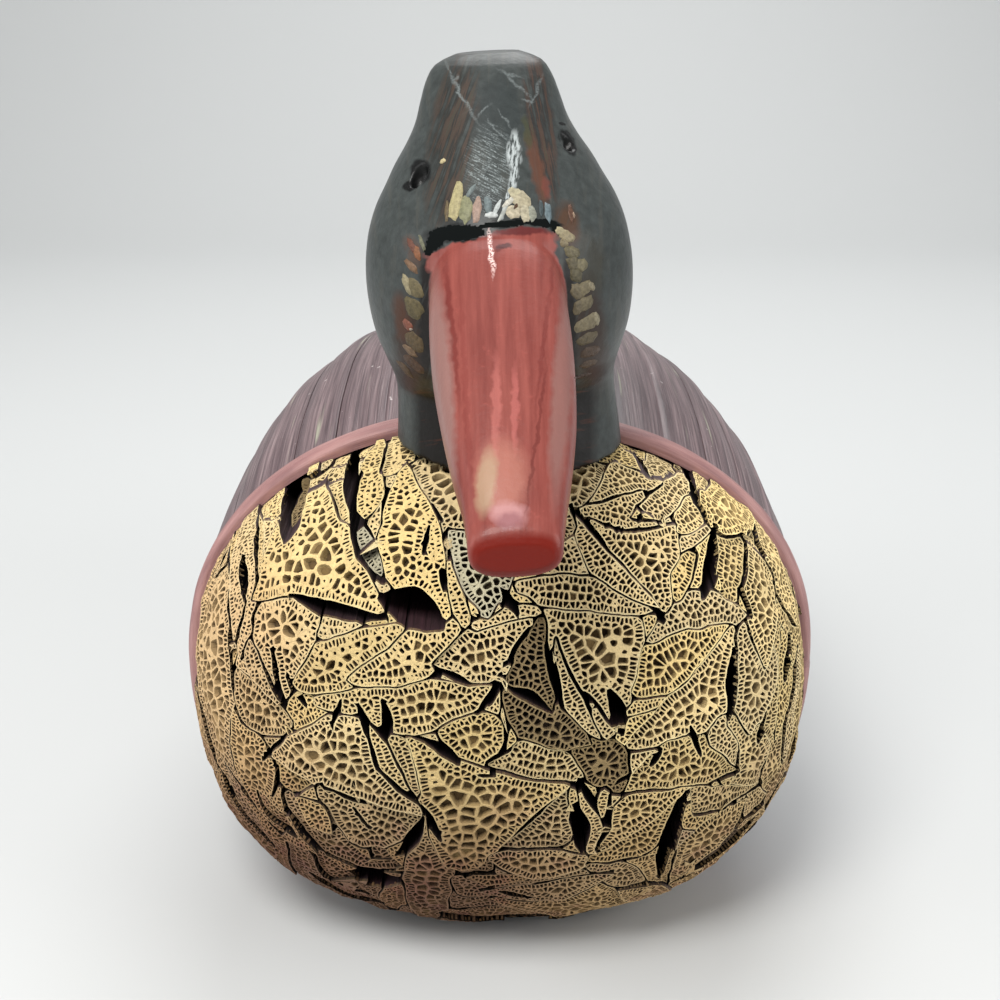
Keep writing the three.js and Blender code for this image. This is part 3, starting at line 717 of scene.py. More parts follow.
def bundle_back(x, z):
    """Place along Y where a stalk at x, z runs out under the strips."""
    places = np.arange(1.0, STALK_END + 1, 2.0)
    _, half, middle, up, down = (station_at(BODY_STATIONS, places).T)[:, :, None]
    above = z[None] >= middle
    power = np.where(above, UPPER_POWER, LOWER_POWER)
    reach = np.where(above, up, down) - STALK_INSET
    out = (np.abs(x) / (half - STALK_INSET)) ** power + (np.abs(z - middle) / reach) ** power
    inside = (out <= 1) & (z >= STALK_INSET)
    last = len(places) - 1 - np.argmax(inside[::-1], axis=0)
    return np.where(inside.any(axis=0), places[last], places[0])


def to_row(points):
    """Metres in the frame, from millimetres from the band."""
    return (np.asarray(points, float) + (0, BAND_PLACE, 0)) * MM


def store(mesh, name, kind, domain, values):
    """Keeps values on a mesh for its material."""
    attribute = mesh.attributes.new(name, kind, domain)
    field = "vector" if kind == "FLOAT_VECTOR" else "color"
    attribute.data.foreach_set(field, np.asarray(values, np.float32).ravel())


def shade_smooth(mesh, sharpness=None):
    """Smooth shading, but for edges sharper than an angle in degrees where one is given."""
    mesh.polygons.foreach_set("use_smooth", [True] * len(mesh.polygons))
    if sharpness:
        mesh.set_sharp_from_angle(angle=math.radians(sharpness))


def make_piece(name, points, faces, materials, slots=None, colours=None):
    """Mesh object from points in millimetres, with one material index and colour for each face."""
    mesh = bpy.data.meshes.new(name)
    mesh.from_pydata(to_row(points).tolist(), [], faces)
    for material in materials:
        mesh.materials.append(material)
    if slots is not None:
        mesh.polygons.foreach_set("material_index", np.asarray(slots, np.int32))
    if colours is not None:
        rgba = np.insert(colours, 3, 1, axis=1)
        store(mesh, "tint", "FLOAT_COLOR", "CORNER", np.repeat(rgba, [len(f) for f in faces], axis=0))
    mesh.update()
    piece = bpy.data.objects.new(name, mesh)
    bpy.context.scene.collection.objects.link(piece)
    return piece


def ride(piece, slot, *replaced):
    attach(piece, "root")
    if replaced:
        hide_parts(*replaced)


# Outlines of the stalks' cut ends


def leaf_outline(row):
    """Closed outline of a leaf-shaped section, anticlockwise."""
    ax, az, bx, bz, left, right = row[:6]
    start, along = np.array([ax, az], float), np.array([bx - ax, bz - az], float)
    across = np.array([-along[1], along[0]]) / np.hypot(*along)
    t = np.linspace(0, 1, LEAF_STEPS + 1)[:, None]
    swell = np.sin(math.pi * t)
    low = start + t * along - right * swell * across
    high = start + t * along + left * swell * across
    return np.vstack([low, high[-2:0:-1]])


def loops_of(pairs):
    """Closed loops of vertex numbers from directed edges."""
    follow = {}
    for a, b in pairs:
        follow.setdefault(a, []).append(b)
    loops = []
    while follow:
        start = next(iter(follow))
        loop, here = [], start
        while here in follow:
            loop.append(here)
            there = follow[here].pop()
            if not follow[here]:
                del follow[here]
            here = there
        if len(loop) > 2:
            loops.append(loop)
    return loops


def signed_area(loop):
    x, z = loop[:, 0], loop[:, 1]
    return 0.5 * np.sum(x * np.roll(z, -1) - z * np.roll(x, -1))


def cad_outlines(name):
    """Loops round the front faces of a CAD stalk, seen along Y, in millimetres."""
    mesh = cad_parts[name].data
    mesh.calc_loop_triangles()
    known, places, pairs = {}, [], set()
    for triangle in mesh.loop_triangles:
        if triangle.normal.y > FRONT_FACING:
            continue
        corners = []
        for vertex in triangle.vertices:
            x, _, z = mesh.vertices[vertex].co / MM
            key = (round(x, 2), round(z, 2))
            if key not in known:
                known[key] = len(places)
                places.append((x, z))
            corners.append(known[key])
        for a, b in turns(corners):
            if (b, a) in pairs:
                pairs.discard((b, a))
            else:
                pairs.add((a, b))
    places = np.array(places)
    found = [places[loop] for loop in loops_of(sorted(pairs))]
    return [loop for loop in found if abs(signed_area(loop)) > SMALLEST_LOOP]


def chunks(points):
    """Points in portions, so that tables of points against segments stay small."""
    for start in range(0, len(points), CHUNK):
        yield points[start : start + CHUNK]


def in_loops(points, loops):
    """Which points lie inside closed loops."""
    starts = np.vstack(loops)
    ends = np.vstack([np.roll(loop, -1, axis=0) for loop in loops])
    z0, z1 = starts[:, 1], ends[:, 1]
    slope = (ends[:, 0] - starts[:, 0]) / np.where(z1 == z0, TINY, z1 - z0)
    found = [np.zeros(0, bool)]
    for part in chunks(points):
        x, z = part[:, :1], part[:, 1:]
        crossed = ((z0 > z) != (z1 > z)) & (starts[:, 0] + (z - z0) * slope > x)
        found.append(crossed.sum(axis=1) % 2 == 1)
    return np.concatenate(found)


FREE, OUTSIDE, OPEN = -1, -2, -3
BESIDE = [(0, 1), (1, 0), (0, -1), (-1, 0)]
AROUND = BESIDE + [(1, 1), (1, -1), (-1, -1), (-1, 1)]
SIDES = [(-1, 0), (0, 1), (1, 0), (0, -1)]
CORNERS = [(0, 0), (0, 1), (1, 1), (1, 0)]


def grow(label, rounds):
    """Lets the labelled areas of the grid spread into free places."""
    for number in range(rounds):
        before = label.copy()
        for down, right in BESIDE if number % 2 else AROUND:
            moved = np.roll(before, (down, right), axis=(0, 1))
            label[(label == FREE) & (moved >= 0)] = moved[(label == FREE) & (moved >= 0)]
        if (label == before).all():
            break


def islands(label, wanted, area):
    """Number of the connected area that each place of the grid is in, -1 where not wanted, and
    the size of each."""
    rows, columns = label.shape
    flat = label.ravel().tolist()
    open_places = wanted.ravel().tolist()
    number = [-1] * len(flat)
    count = 0
    for first in range(len(flat)):
        if not open_places[first] or number[first] >= 0:
            continue
        number[first] = count
        stack = [first]
        while stack:
            here = stack.pop()
            for there in (here + 1, here - 1, here + columns, here - columns):
                if open_places[there] and number[there] < 0 and flat[there] == flat[here]:
                    number[there] = count
                    stack.append(there)
        count += 1
    number = np.array(number).reshape(rows, columns)
    return number, np.bincount(number[number >= 0], area[number >= 0], count)


def island_edges(number):
    """Directed edges round each island, between numbered corners of the grid."""
    columns = number.shape[1]
    edges = {}
    for (down, right), ends in zip(SIDES, turns(CORNERS)):
        other = np.roll(number, (-down, -right), axis=(0, 1))
        row, column = np.nonzero((number >= 0) & (other != number))
        first, last = (((row + y) * (columns + 1) + column + x).tolist() for y, x in ends)
        for island, start, end in zip(number[row, column].tolist(), first, last):
            edges.setdefault(island, []).append((start, end))
    return edges


def partition(shapes):
    """Shares the breast out on a grid over its flat map. Each shape is its key and its loops in x
    and z. An earlier shape wins where two overlap, and a shape without a key stays open. Gaps go
    to the nearest stalk or, where wide, to a piece of their own. Returns keys and map loops."""
    edge = MAP_STRETCH[-1]
    _, half, _, up, down = BODY_STATIONS[0]
    xs = np.arange(-half * edge - 2 * GRID, half * edge + 2 * GRID, GRID)
    zs = np.arange(MAP_MIDDLE[1] - down * edge - 2 * GRID, MAP_MIDDLE[1] + up * edge + 2 * GRID, GRID)
    rows, columns = len(zs), len(xs)
    flat = np.stack(np.meshgrid(xs, zs), axis=2).reshape(-1, 2)
    spots = folded(flat)
    label = np.full(len(flat), FREE)
    for index in range(len(shapes) - 1, -1, -1):
        key, loops = shapes[index]
        low, high = np.vstack(loops).min(axis=0), np.vstack(loops).max(axis=0)
        near = np.nonzero(((spots >= low) & (spots <= high)).all(axis=1))[0]
        hit = near[in_loops(spots[near], loops)]
        label[hit] = OPEN if key is None else index
    beyond = breast_radius(flat[:, 0], flat[:, 1]) > edge * RIM_SHARE
    label[beyond | (spots[:, 1] < FLOOR_LIMIT)] = OUTSIDE
    label = label.reshape(rows, columns)
    grow(label, round(GROWTH / GRID))

    away = flat - MAP_MIDDLE
    turn = np.degrees(np.arctan2(away[:, 1], away[:, 0]))
    turn = turn + SECTOR_WAVE * noise(flat, SECTOR_WAVE_SIZE, seed=9)
    sector = np.floor(turn / CHIP_SECTOR).astype(int).reshape(rows, columns)
    area = GRID**2 / stretch(flat).reshape(rows, columns) ** 2
    keys = [key for key, _ in shapes]
    number, sizes = islands(sector, label == FREE, area)
    for chip in np.nonzero(sizes > SMALLEST_CHIP)[0]:
        label[number == chip] = len(keys)
        keys.append(("chip", len(keys) - len(shapes)))
    grow(label, rows)

    number, sizes = islands(label, label >= 0, area)
    owner = np.full(len(sizes), -1)
    owner[number[number >= 0]] = label[number >= 0]
    edges = island_edges(number)
    origin = np.array([xs[0], zs[0]]) - GRID / 2
    regions = []
    for island in np.nonzero(sizes >= SMALLEST_PIECE)[0].tolist():
        loops = []
        for loop in loops_of(edges[island]):
            corner = np.array(loop)
            ring = origin + GRID * np.stack([corner % (columns + 1), corner // (columns + 1)], axis=1)
            if abs(signed_area(ring)) > SMALLEST_LOOP:
                loops.append(ring)
        loops.sort(key=lambda ring: -abs(signed_area(ring)))
        regions.append((keys[owner[island]], loops, sizes[island]))
    return regions


def softened(points):
    """Loop with its steps rounded off, gently warped and drawn in a little."""
    for _ in range(OUTLINE_ROUNDS):
        middle = (np.roll(points, 1, axis=0) + np.roll(points, -1, axis=0)) / 2
        points = points + OUTLINE_PULL * (middle - points)
    warp = np.stack([noise(points, WARP_SIZE, 3), noise(points, WARP_SIZE, 4)], axis=1)
    points = points + WARP * warp
    tangent = np.roll(points, -1, axis=0) - np.roll(points, 1, axis=0)
    tangent /= np.maximum(np.linalg.norm(tangent, axis=1, keepdims=True), SMALL)
    inward = np.stack([-tangent[:, 1], tangent[:, 0]], axis=1)
    return points + PIECE_SHRINK * stretch(points)[:, None] * inward


# Cells in a cut end


class Edge:
    """Boundary of one region: closed loops of close points, with the region on their left."""

    def __init__(self, loops):
        self.points = np.vstack(loops)
        sizes = [len(loop) for loop in loops]
        first = np.cumsum([0] + sizes[:-1])
        self.before = np.concatenate([f + np.roll(np.arange(n), 1) for f, n in zip(first, sizes)])
        self.after = np.concatenate([f + np.roll(np.arange(n), -1) for f, n in zip(first, sizes)])
        along = self.points[self.after] - self.points
        self.length = np.maximum(np.linalg.norm(along, axis=1), TINY)
        self.along = along / self.length[:, None]
        self.inward = np.stack([-self.along[:, 1], self.along[:, 0]], axis=1)
        self.tree = KDTree(len(self.points))
        for number, (x, z) in enumerate(self.points.tolist()):
            self.tree.insert((x, z, 0), number)
        self.tree.balance()

    def foot_on(self, points, segment):
        """Nearest place to each point on its own segment, and how far it is."""
        start = self.points[segment]
        reach = ((points - start) * self.along[segment]).sum(axis=1)
        foot = start + np.clip(reach, 0, self.length[segment])[:, None] * self.along[segment]
        return foot, np.linalg.norm(points - foot, axis=1)

    def foot_near(self, points, corner):
        """The same on either segment beside a boundary point, and which segment it is on."""
        foot, away = self.foot_on(points, corner)
        other, other_away = self.foot_on(points, self.before[corner])
        nearer = other_away < away
        foot = np.where(nearer[:, None], other, foot)
        return foot, np.where(nearer, other_away, away), np.where(nearer, self.before[corner], corner)

    def nearest(self, points):
        """Nearest place on the boundary, and how deep inside each point is, below 0 outside."""
        corner = np.array([self.tree.find((x, z, 0))[1] for x, z in points.tolist()], int)
        foot, away, segment = self.foot_near(points, corner)
        at_corner = np.linalg.norm(foot - self.points[corner], axis=1) < SMALL
        both = self.inward[corner] + self.inward[self.before[corner]]
        facing = np.where(at_corner[:, None], both, self.inward[segment])
        inside = ((points - foot) * facing).sum(axis=1) > 0
        return foot, np.where(inside, away, -away)

    def depth(self, points):
        return self.nearest(points)[1]

    def row(self, depth, spacing, rng):
        """Points in a row at about one depth inside the boundary."""
        length = self.length / stretch(self.points)
        total = np.concatenate([[0], np.cumsum(length)])
        count = max(int(total[-1] / spacing), LEAST_ROW)
        jitter = rng.uniform(-ROW_JITTER, ROW_JITTER, count)
        place = (np.arange(count) + jitter) * total[-1] / count
        place = np.clip(place, 0, total[-1] - SMALL)
        segment = np.searchsorted(total, place, side="right") - 1
        share = (place - total[segment]) / length[segment]
        base = self.points[segment] + (share * self.length[segment])[:, None] * self.along[segment]
        deep = depth * rng.uniform(*ROW_DEPTHS, count) * stretch(base)
        return base + self.inward[segment] * deep[:, None]


def scatter(edge, size, rng):
    """Middles of the cells: a comb of small ones along the skin and larger ones inside."""
    low, high = edge.points.min(axis=0), edge.points.max(axis=0)
    darts = rng.uniform(low, high, (int(np.prod(high - low) * DARTS) + LEAST_DARTS, 2))
    dart_depth = edge.depth(darts)
    darts, dart_depth = darts[dart_depth > 0], dart_depth[dart_depth > 0]
    second_depth, second_spacing = SECOND_LEAST
    inner_depth, inner_spacing = INNER_LEAST
    stages = [
        (edge.row(ROW_DEPTH, ROW_SPACING, rng), *ROW_LEAST),
        (edge.row(TIP_DEPTH, ROW_SPACING, rng), *TIP_LEAST),
        (edge.row(SECOND_DEPTH * size, SECOND_SPACING * size, rng),
         second_depth, second_spacing * size),
        (darts, inner_depth, inner_spacing * size),
        (darts, TIP_DEPTH, FILL_SPACING),
    ]
    kept, boxes = [], {}
    _, axes = np.linalg.eigh(np.cov(edge.points.T))
    turned = (axes * (ACROSS_STALK, ALONG_STALK)).T.tolist()
    for candidates, least_depth, spacing in stages:
        scale = stretch(candidates)
        depth = dart_depth if candidates is darts else edge.depth(candidates)
        ready = depth > least_depth * scale
        if least_depth == TIP_DEPTH:
            ready &= depth < FILL_DEPTH * scale
        apart = spacing * scale
        if candidates is darts:
            coarse = np.clip(COARSE_START + COARSE_RISE * depth / scale, COARSE_START, COARSE_MOST)
            variety = 1 + CELL_VARIETY * noise(candidates, CELL_VARIETY_SIZE, seed=17)
            apart = apart * coarse * variety
        (ax, az), (bx, bz) = turned if candidates is darts else ((1, 0), (0, 1))
        for (x, z), least in zip(candidates[ready].tolist(), apart[ready].tolist()):
            column, row = int(x // BOX), int(z // BOX)
            reach = int(least / ACROSS_STALK // BOX) + 1
            near = itertools.product(range(column - reach, column + reach + 1),
                                     range(row - reach, row + reach + 1))
            if all(((x - u) * ax + (z - v) * az) ** 2 + ((x - u) * bx + (z - v) * bz) ** 2
                   > least * least for box in near for u, v in boxes.get(box, ())):
                boxes.setdefault((column, row), []).append((x, z))
                kept.append((x, z))
    return np.array(kept).reshape(-1, 2)


def mirrored(edge, seeds):
    """Images of the seeds across the boundary, which make it the edge of their cells. Images that
    fall inside the region again, across a narrow opening, are left out."""
    reach = MIRROR_REACH * stretch(seeds)
    pairs = [(number, corner) for number, (x, z) in enumerate(seeds.tolist())
             for _, corner, _ in edge.tree.find_range((x, z, 0), reach[number])]
    if not pairs:
        return np.zeros((0, 2))
    seed, corner = np.array(pairs).T
    point = seeds[seed]
    away, away_before, away_after = (np.linalg.norm(point - edge.points[k], axis=1)
                                     for k in (corner, edge.before[corner], edge.after[corner]))
    turning = (away <= away_before) & (away < away_after)
    point, corner = point[turning], corner[turning]
    foot, _, _ = edge.foot_near(point, corner)
    images = 2 * foot - point
    return images[edge.depth(images) < 0]


def circumcentres(a, b, c):
    """Middles of the circles through the corners of triangles."""
    ab, ac = b - a, c - a
    area = 2 * (ab[:, 0] * ac[:, 1] - ab[:, 1] * ac[:, 0])
    area = np.where(np.abs(area) < TINY, TINY, area)
    ab2, ac2 = (ab**2).sum(axis=1), (ac**2).sum(axis=1)
    x = (ac[:, 1] * ab2 - ab[:, 1] * ac2) / area
    z = (ab[:, 0] * ac2 - ac[:, 0] * ab2) / area
    return a + np.stack([x, z], axis=1)


def merged(triangles, centres):
    """Number of the corner that each triangle makes, the same for neighbours that lie close."""
    parent = list(range(len(triangles)))

    def root(number):
        while parent[number] != number:
            parent[number] = parent[parent[number]]
            number = parent[number]
        return number

    beside = {}
    for number, triangle in enumerate(triangles.tolist()):
        for p, q in turns(triangle):
            other = beside.get((q, p))
            beside[p, q] = number
            if other is not None and np.hypot(*(centres[number] - centres[other])) < MERGE:
                parent[root(number)] = root(other)
    roots = [root(number) for number in range(len(triangles))]
    corner_of = {r: k for k, r in enumerate(sorted(set(roots)))}
    return np.array([corner_of[r] for r in roots])


def voronoi(edge, seeds):
    """Corners of the cells, shared between them, and the corner numbers of each cell."""
    points = [Vector(p) for p in np.vstack([seeds, mirrored(edge, seeds)])]
    placed, _, triangles, sources, _, _ = delaunay_2d_cdt(points, [], [], 0, SMALL)
    placed, triangles = np.array([tuple(p) for p in placed]), np.array(triangles)
    centres = circumcentres(*(placed[triangles[:, k]] for k in range(3)))
    corner = merged(triangles, centres)
    count = np.bincount(corner)
    corners = np.stack([np.bincount(corner, centres[:, k]) / count for k in range(2)], axis=1)
    is_seed = np.array([bool(found) and min(found) < len(seeds) for found in sources])
    outer = np.zeros(len(corners), bool)
    outer[corner[~is_seed[triangles].all(axis=1)]] = True
    around = {}
    for number, triangle in enumerate(triangles.tolist()):
        for vertex in triangle:
            if is_seed[vertex]:
                around.setdefault(vertex, []).append(number)
    cells, middles = [], []
    for vertex in sorted(around):
        numbers_around = np.array(around[vertex])
        away = centres[numbers_around] - placed[vertex]
        order = np.argsort(np.arctan2(away[:, 1], away[:, 0]))
        ring = without_repeats(corner[numbers_around[order]].tolist())
        if len(ring) > 2:
            cells.append(ring)
            middles.append(placed[vertex])
    if not cells:
        return corners, cells
    return held_inside(edge, corners, outer, cells, np.array(middles))


def without_repeats(ring):
    """Ring without corners that repeat the one before."""
    return [corner for k, corner in enumerate(ring) if corner != ring[k - 1]]


def held_inside(edge, corners, outer, cells, middles):
    """Cells with the corners that lie outside the region drawn back to its boundary, each
    towards its own cell, so that cells across a narrow opening part."""
    used = np.unique(np.concatenate([np.array(ring) for ring in cells]))
    depth = np.full(len(corners), 1.0)
    depth[used] = edge.depth(corners[used])
    border = used[outer[used] & (np.abs(depth[used]) < SNAP_REACH)]
    if len(border):
        corners[border] = edge.nearest(corners[border])[0]
    far = [max(np.hypot(*(corners[ring] - middle).T)) for ring, middle in zip(cells, middles)]
    near = [index for index, reach in enumerate(far) if reach < FARTHEST_CORNER]
    cells, middles = [cells[index] for index in near], middles[near]
    if not cells:
        return corners, cells
    used = np.unique(np.concatenate([np.array(ring) for ring in cells]))
    astray = {int(k) for k in used
              if depth[k] < -ASTRAY and not (outer[k] and -depth[k] < SNAP_REACH)}
    if not astray:
        return corners, cells
    visits = [(k, index) for index, ring in enumerate(cells) for k in ring if k in astray]
    low = middles[[index for _, index in visits]]
    high = corners[[k for k, _ in visits]]
    for _ in range(HALVINGS):
        half = (low + high) / 2
        inside = (edge.depth(half) > 0)[:, None]
        low, high = np.where(inside, half, low), np.where(inside, high, half)
    corners, spots = corners.tolist(), {}
    for (k, index), place in zip(visits, edge.nearest(low)[0]):
        choices = spots.setdefault(k, [])
        for number in choices:
            if np.hypot(*(np.array(corners[number]) - place)) < PART_REACH:
                break
        else:
            number = len(corners)
            corners.append(place.tolist())
            choices.append(number)
        cells[index] = [number if corner == k else corner for corner in cells[index]]
    cells = [without_repeats(ring) for ring in cells]
    return np.array(corners), [r for r in cells if len(r) > 2 and len(set(r)) == len(r)]


def end_colours(tone, kind, deep, chance, middles, own):
    """Colour of each face of a cut end, from what it is and where it lies."""
    palette = {name: linear(value) for name, value in PALETTES[tone].items()}
    x, z = middles.T[:, :, None]
    chance = chance[:, None]
    right = smooth(*RIGHT_SIDE, x)
    low = smooth(*LOW_PART, z) * (1 - LOW_ON_RIGHT * right)
    left = smooth(*LEFT_SIDE, x) * smooth(*LEFT_HEIGHT, z)
    patch = noise(middles, PATCH_SIZE, seed=7)[:, None] / 2
    low_blotch = smooth(*LOW_BLOTCH_RANGE, noise(middles, LOW_BLOTCH_SIZE, seed=8))[:, None]
    light = (1 + RIGHT_LIGHT * right) * (1 - left * LEFT_SHADE) * (1 - low * LOW_SHADE)
    wall = palette["wall"] * own * (1 + CHANCE_LIGHT * chance + PATCH_LIGHT * patch)
    wall = wall * light * (1 - low * low_blotch * LOW_BLOTCH_DARKENING)
    # Painted shade: deeper pits, and pits low down, get floors nearer the dark deep tone, and pit
    # sides are painted partly in the floor tone.
    share = deep[:, None] * (DEEP_SHADE_SHARE + DEEP_SHADE_ON_LOW * low) + DEEP_SHADE_CHANCE * chance
    floor = palette["floor"] + (palette["deep"] - palette["floor"]) * np.clip(share, 0, 1)
    table = {
        WALL_TOP: wall,
        RIM_TOP: palette["rim"] * own * light,
        PIT_SIDE: wall * PIT_WALL_SHARE + floor * (1 - PIT_WALL_SHARE),
        PIT_FLOOR: floor,
        SKIN_FRONT: np.broadcast_to(linear(SKIN_NEAR), wall.shape),
        SKIN_SIDE: np.broadcast_to(linear(SKIN_FAR_SHADE), wall.shape),
        BACK: np.broadcast_to(linear(SKIN_FAR_SHADE), wall.shape),
    }
    colours = np.zeros((len(kind), 3))
    for code, values in table.items():
        colours[kind == code] = values[kind == code]
    return colours


def cell_lumen(ring, middle, thickness, double):
    """Rounded inside of a cell within its walls: one point for each corner, and with double also
    one for each side."""
    after = np.roll(ring, -1, axis=0)
    side = after - ring
    length = np.maximum(np.hypot(side[:, 0], side[:, 1]), SMALL)
    normal = np.stack([side[:, 1], -side[:, 0]], axis=1) / length[:, None]
    reach = np.maximum(((ring - middle) * normal).sum(axis=1) - thickness, LEAST_LUMEN)
    targets = ring
    if double:
        targets = np.empty((2 * len(ring), 2))
        targets[0::2] = ring
        targets[1::2] = (ring + after) / 2
    ray = targets - middle
    most = np.maximum(np.linalg.norm(ray, axis=1), SMALL)
    ray /= most[:, None]
    facing = np.maximum(ray @ normal.T, 0) / reach
    radius = np.maximum((facing**CELL_ROUNDNESS).sum(axis=1), TINY) ** (-1 / CELL_ROUNDNESS)
    return middle + ray * np.minimum(radius, WALL_SHARE * most)[:, None]


def upper_left(place):
    """How far into the paler, thick-walled upper left of the breast a place is."""
    across, up = UPPER_LEFT
    return float(smooth(*across, place[0]) * smooth(*up, place[1]))


class Faces:
    """Faces of a cut end, each with what it is, how deep its pit is and its chance lightness."""

    def __init__(self):
        self.corners, self.kind, self.deep, self.chance = [], [], [], []

    def add(self, face, kind, deep=0.0, chance=0.0):
        self.corners.append(face)
        self.kind.append(kind)
        self.deep.append(deep)
        self.chance.append(chance)


def add_cell(faces, ring, at_rim, at, top, base, share, chance):
    """Faces of one cell: its walls, seen on end, the sides of its pit and the floor."""
    count = len(top)
    double = count > len(ring)
    for k, (pair, outer) in enumerate(zip(turns(ring), at_rim)):
        a, b = at[pair[0]], at[pair[1]]
        code = RIM_TOP if outer else WALL_TOP
        if double:
            here, middle, there = top[2 * k], top[2 * k + 1], top[(2 * k + 2) % count]
            for face in ((a, b, middle), (a, middle, here), (b, there, middle)):
                faces.add(face, code, 0, chance)
        else:
            faces.add((a, b, top[(k + 1) % count], top[k]), code, 0, chance)
    for face in quads(top, base, True):
        faces.add(face, PIT_SIDE, share, chance)
    faces.add(tuple(base), PIT_FLOOR, share, chance)


def skin_rows(points):
    """Rows of points behind the rim of a cut end: near its front, tucked under the band, and
    where the stalk runs out under the strips."""
    x, front, z = points.T
    pull = np.minimum(1, RIM_LIMIT / np.maximum(breast_radius(x, z), SMALL))
    middle = BODY_STATIONS[0][2]
    tucked_x = x * pull
    tucked_z = np.maximum(middle + (z - middle) * pull, STALK_INSET + FLOOR_OVERLAP)
    near = front + SKIN_EDGE
    near = np.where(pull < 1, np.minimum(near, BREAST_RIM + RIM_OVERLAP), near)
    near = np.maximum(near, front + LEAST_SKIN)
    back = np.maximum(bundle_back(tucked_x, tucked_z), near + TUCK + LEAST_STALK)
    return [np.stack([x, near, z], axis=1), np.stack([tucked_x, near + TUCK, tucked_z], axis=1),
            np.stack([tucked_x, back, tucked_z], axis=1)]


def make_end(name, loops, number, size, tone, recess):
    """One stalk, from its open cells at the breast to where it runs out under the strips."""
    rng = np.random.default_rng(number)
    edge = Edge([softened(loop) for loop in loops])
    seeds = scatter(edge, size, rng)
    corners, cells = voronoi(edge, seeds) if len(seeds) > 1 else ([], [])
    if not cells:
        return None
    sides = {pair for ring in cells for pair in turns(ring)}
    border = {(a, b) for a, b in sides if (b, a) not in sides}
    used = sorted({k for ring in cells for k in ring})
    at = {k: index for index, k in enumerate(used)}
    flat = corners[used]
    grain = SURFACE_GRAIN * rng.uniform(0, 2, len(used))
    sunk = recess + SURFACE_WAVE * (1 + noise(flat, SURFACE_WAVE_SIZE, number % 50)) + grain
    places, depths, total = [flat], [sunk], len(used)
    faces = Faces()
    for ring in cells:
        place = corners[ring]
        middle = place.mean(axis=0)
        outer = np.array([pair in border for pair in turns(ring)])
        scale = stretch(middle[None])[0]
        width = np.linalg.norm(place - middle, axis=1).mean() / scale
        double = 2 * width > SMALL_CELL
        upper = upper_left(middle)
        thick = rng.uniform(*WALL_SPREAD) * (1 + UPPER_WALL * upper)
        lumen = cell_lumen(place, middle, scale * np.where(outer, RIM_WALL, WALL * thick), double)
        closed = rng.random() < CLOSED_CELLS + CLOSED_UPPER * upper
        opening = rng.uniform(*CLOSED_OPENING) if closed else 1.0
        lumen = middle + (lumen - middle) * opening * rng.uniform(*RAGGED, (len(lumen), 1))
        brim = sunk[[at[k] for k in ring]]
        if double:
            brim = np.stack([brim, (brim + np.roll(brim, -1)) / 2], axis=1).ravel()
        chance = rng.uniform(-1, 1)
        share = np.clip(rng.beta(*PIT_SPREAD) + OLD_DEPTH * (tone != "cream"), 0, 1)
        depth = PIT_DEPTH[0] + share * (PIT_DEPTH[1] - PIT_DEPTH[0]) * min(1, width / FULL_WIDTH)
        count = len(lumen)
        places += [lumen, middle + (lumen - middle) * PIT_TAPER]
        depths += [brim + LIP, np.full(count, brim.mean() + depth)]
        add_cell(faces, ring, outer, at, *numbers(2, count, total), share, chance)
        total += 2 * count

    points = on_breast(np.vstack(places), np.concatenate(depths))
    points[:, 2] = np.maximum(points[:, 2], 0)
    points = np.vstack([points, *skin_rows(points[: len(used)])])
    near, tuck, back = numbers(3, len(used), total)
    for a, b in sorted(border):
        a, b = at[a], at[b]
        faces.add((b, a, near[a], near[b]), SKIN_FRONT)
        faces.add((near[b], near[a], tuck[a], tuck[b]), SKIN_SIDE)
        faces.add((tuck[b], tuck[a], back[a], back[b]), SKIN_SIDE)
    for loop in loops_of(sorted(border)):
        faces.add(tuple(back[at[k]] for k in reversed(loop)), BACK)

    kind = np.array(faces.kind)
    middles = points[[face[0] for face in faces.corners]][:, [0, 2]]
    own = 1 + rng.uniform(*OWN_LIGHT) + rng.uniform(-1, 1) * OWN_TINT
    colours = end_colours(tone, kind, np.array(faces.deep), np.array(faces.chance), middles, own)
    keep = np.zeros(len(points), bool)
    keep[np.concatenate(faces.corners)] = True
    renumber = np.cumsum(keep) - 1
    corners = [renumber[list(face)].tolist() for face in faces.corners]
    return make_piece(name, points[keep], corners, [pith, skin], kind >= SKIN_FRONT, colours)


